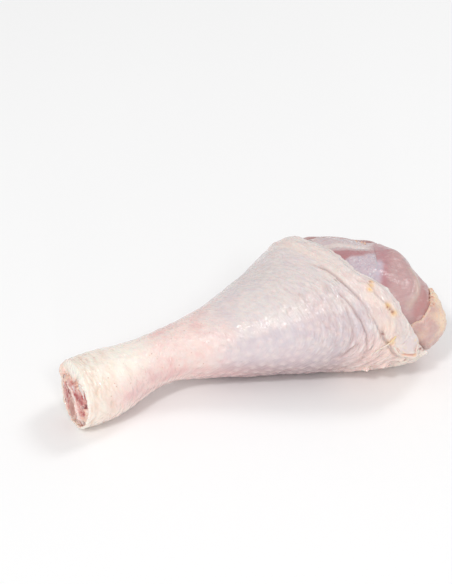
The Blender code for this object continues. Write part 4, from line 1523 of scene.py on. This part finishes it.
def make_ankle(finish):
    """The core of the ankle: its sides under the skin and the lumpy cut face."""
    columns = 200
    turns = circle(columns)
    share = np.linspace(0, 1, 76)[:, None]
    wall = SKIN_WALL + CORE_GAP
    radius = share * (reach(CORE_START, turns) - wall)
    near, up = radius * np.cos(turns), radius * np.sin(turns)
    masks = {}
    height = (2.0 + 0.8 * step(-up, 6, 16)) * (1 - share**4)
    height = height + 0.35 * noise(near / 3, up / 3, 0, 91) + 0.25 * noise(near / 1.3, up / 1.3, 0, 92)
    for kind in ("fatty", "pale", "silver", "red", "dark"):
        rise, masks[kind] = ankle_part(near, up, kind)
        height = height + rise
    under_roll = step(share - 1 + 2 * ankle_roll(turns) / reach(CORE_START, turns), -0.16, 0.02)
    height = height * (1 - 0.85 * under_roll)
    hollow = np.hypot((near - 0.2) / 4.9, (up + ANKLE_BONE_DROP + 0.5) / 8.2)
    height = height - 2.6 * (1 - step(hollow, 0.85, 1.12))
    masks["rim"] = 0.5 * bump(hollow - 1.18, 0.14)
    along = CORE_START - height * (1 - step(share, 0.94, 1.0))
    face = place(along, np.broadcast_to(turns, along.shape), radius, lift=wall)
    sides = []
    for place_on in np.linspace(CORE_START + 1.5, CORE_END, 24):
        outside = reach(place_on, turns) - wall
        sides.append(place(np.full(columns, place_on), turns, outside, lift=wall))
    points = np.array(list(face) + sides + dome(sides[-1], (0.0005, 0, 0), 3))
    extra = len(points) - len(along)
    masks = {label: np.vstack([grid, np.zeros((extra, columns))]) for label, grid in masks.items()}
    return new_piece("ankle_tissue", points, finish, masks)


def ankle_finish():
    core = Finish("ankle_sinew", (228, 186, 176))
    core.patches((2.4, 3), 0.45, 0.62, (208, 140, 130), 0.8)
    core.patches((1.4, 2), 0.55, 0.7, (242, 216, 206), 0.7)
    bundles = core.range(core.cells(2.4, "DISTANCE_TO_EDGE")["Distance"], 0.03, 0.16, 0, 0.55)
    core.layer(bundles, (198, 98, 94))
    core.over("fatty", 0.85, (255, 220, 198))
    core.over("silver", 0.85, (230, 216, 216))
    core.over("red", 0.9, (172, 46, 50))
    core.over("dark", 0.9, (118, 18, 30))
    core.layer(core.mask("rim"), (232, 200, 190))
    core.patches((0.9, 2), 0.6, 0.74, (176, 76, 74), 0.6)
    core.patches((1.8, 3, 0.5), 0.58, 0.7, (238, 208, 198), 0.6)
    core.over("pale", 0.85, (252, 230, 222))
    core.bumps((1.6, 3), 0.6, 0.6)
    rough = core.uneven((3, 2), 0.22, 0.4)
    return core.done(rough, flesh=0.3, depth=(2.0, 1.0, 0.8), coat=(0.5, 0.12))


# ---------------------------------------------------------------- room, light and camera


def make_floor():
    bpy.ops.mesh.primitive_plane_add(size=20.0)
    floor = bpy.context.object
    floor.name = "studio_floor"
    paint = Finish("floor_paint", (250, 250, 250))
    floor.data.materials.append(paint.done(0.9, shine=0.1))


def softbox(name, turn, height, size, power):
    lamp = bpy.data.lights.new(name, "AREA")
    lamp.shape = "DISK"
    lamp.size = size
    lamp.energy = power
    point_at(add_object(name, lamp), turn, height, SOFTBOX_DISTANCE, SOFTBOX_AIM)


def point_at(thing, turn, height, distance, aim):
    """Puts a camera or lamp at a turn and height in degrees from its aim, looking at it."""
    turn, height = math.radians(turn), math.radians(height)
    flat = math.cos(height)
    back = Vector((math.sin(turn) * flat, -math.cos(turn) * flat, math.sin(height)))
    thing.location = Vector(aim) + back * distance
    thing.rotation_euler = back.to_track_quat("Z", "Y").to_euler()


def make_light():
    """An even white sky and the softboxes."""
    world = bpy.data.worlds.new("studio")
    bpy.context.scene.world = world
    world.use_nodes = True
    sky = world.node_tree.nodes["Background"]
    sky.inputs["Color"].default_value = (1.0, 1.0, 1.0, 1.0)
    sky.inputs["Strength"].default_value = SKY_STRENGTH
    for name, settings in SOFTBOXES.items():
        softbox(name, *settings)


def make_camera():
    lens = bpy.data.cameras.new("camera")
    lens.lens = CAMERA_LENS
    lens.sensor_width = SENSOR_WIDTH
    camera = add_object("camera", lens)
    point_at(camera, CAMERA_TURN, CAMERA_HEIGHT, CAMERA_DISTANCE, CAMERA_AIM)
    bpy.context.scene.camera = camera


def put(piece, slot, *nodes):
    """Every piece moves with the leg and stands for its nodes; the slot is not used."""
    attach(piece, "root")
    if nodes:
        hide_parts(*nodes)


def main():
    make_camera()
    make_light()
    make_floor()
    bpy.context.scene.view_settings.view_transform = "Standard"

    put(make_skin(skin_finish()), "skin", "skin")
    near_start = tuple((along, angle - 360) for along, angle in UNDER_NEAR_LINE)
    put(make_muscle("big_muscle", (near_start, NEAR_TOP_LINE), 223.6, 8.0, 180, 1.4,
                    big_muscle_relief, big_muscle_masks, finish_big_muscle()), "meat", "near_muscle")
    put(make_muscle("upper_muscle", (NEAR_TOP_LINE, TOP_FAR_LINE), 209.0, 3.0, 100, 0.8,
                    thin_relief, upper_muscle_masks, finish_upper_muscle()), "meat", "top_muscle")
    dark = finish_dark_muscle()
    put(make_muscle("outer_muscle", (TOP_FAR_LINE, FAR_UNDER_LINE), 212.0, 7.0, 100, 1.5,
                    thin_relief, plain_masks, dark), "dark_meat", "far_muscle")
    put(make_muscle("lower_muscle", (FAR_UNDER_LINE, UNDER_NEAR_LINE), 215.0, 7.0, 100, 1.5,
                    thin_relief, plain_masks, dark), "dark_meat", "under_muscle")
    flap = make_flap(flap_finish())
    film = make_film(film_finish())
    torn = torn_fat_finish()
    put(scatter_lobules("flap_lobules", flap, torn, 1.5, 0.8, 3), "fat")
    put(scatter_lobules("film_lobules", film, torn, 1.7, 0.9, 5), "fat")
    put(flap, "fat", "fat_flap")
    put(film, "meat")
    put(make_tongue(tongue_finish()), "skin")
    put(make_strand("fat_strand", STRAND, 0.8, 0.9, strand_finish()), "fat")
    put(make_cartilage(cartilage_finish()), "cartilage", "joint_cartilage")
    put(make_bone(bone_finish()), "bone", "shin_bone")
    tendon = tendon_finish()
    put(make_strap(tendon), "tendon", "tendon_strap")
    for name, node, angle, share, radius in CORD_TENDONS:
        put(make_cord(name, angle, share, radius, tendon), "tendon", node)
    put(make_ankle(ankle_finish()), "sinew", "ankle_core")


main()


def plain(box):
    return [[float(value) for value in corner] for corner in box]
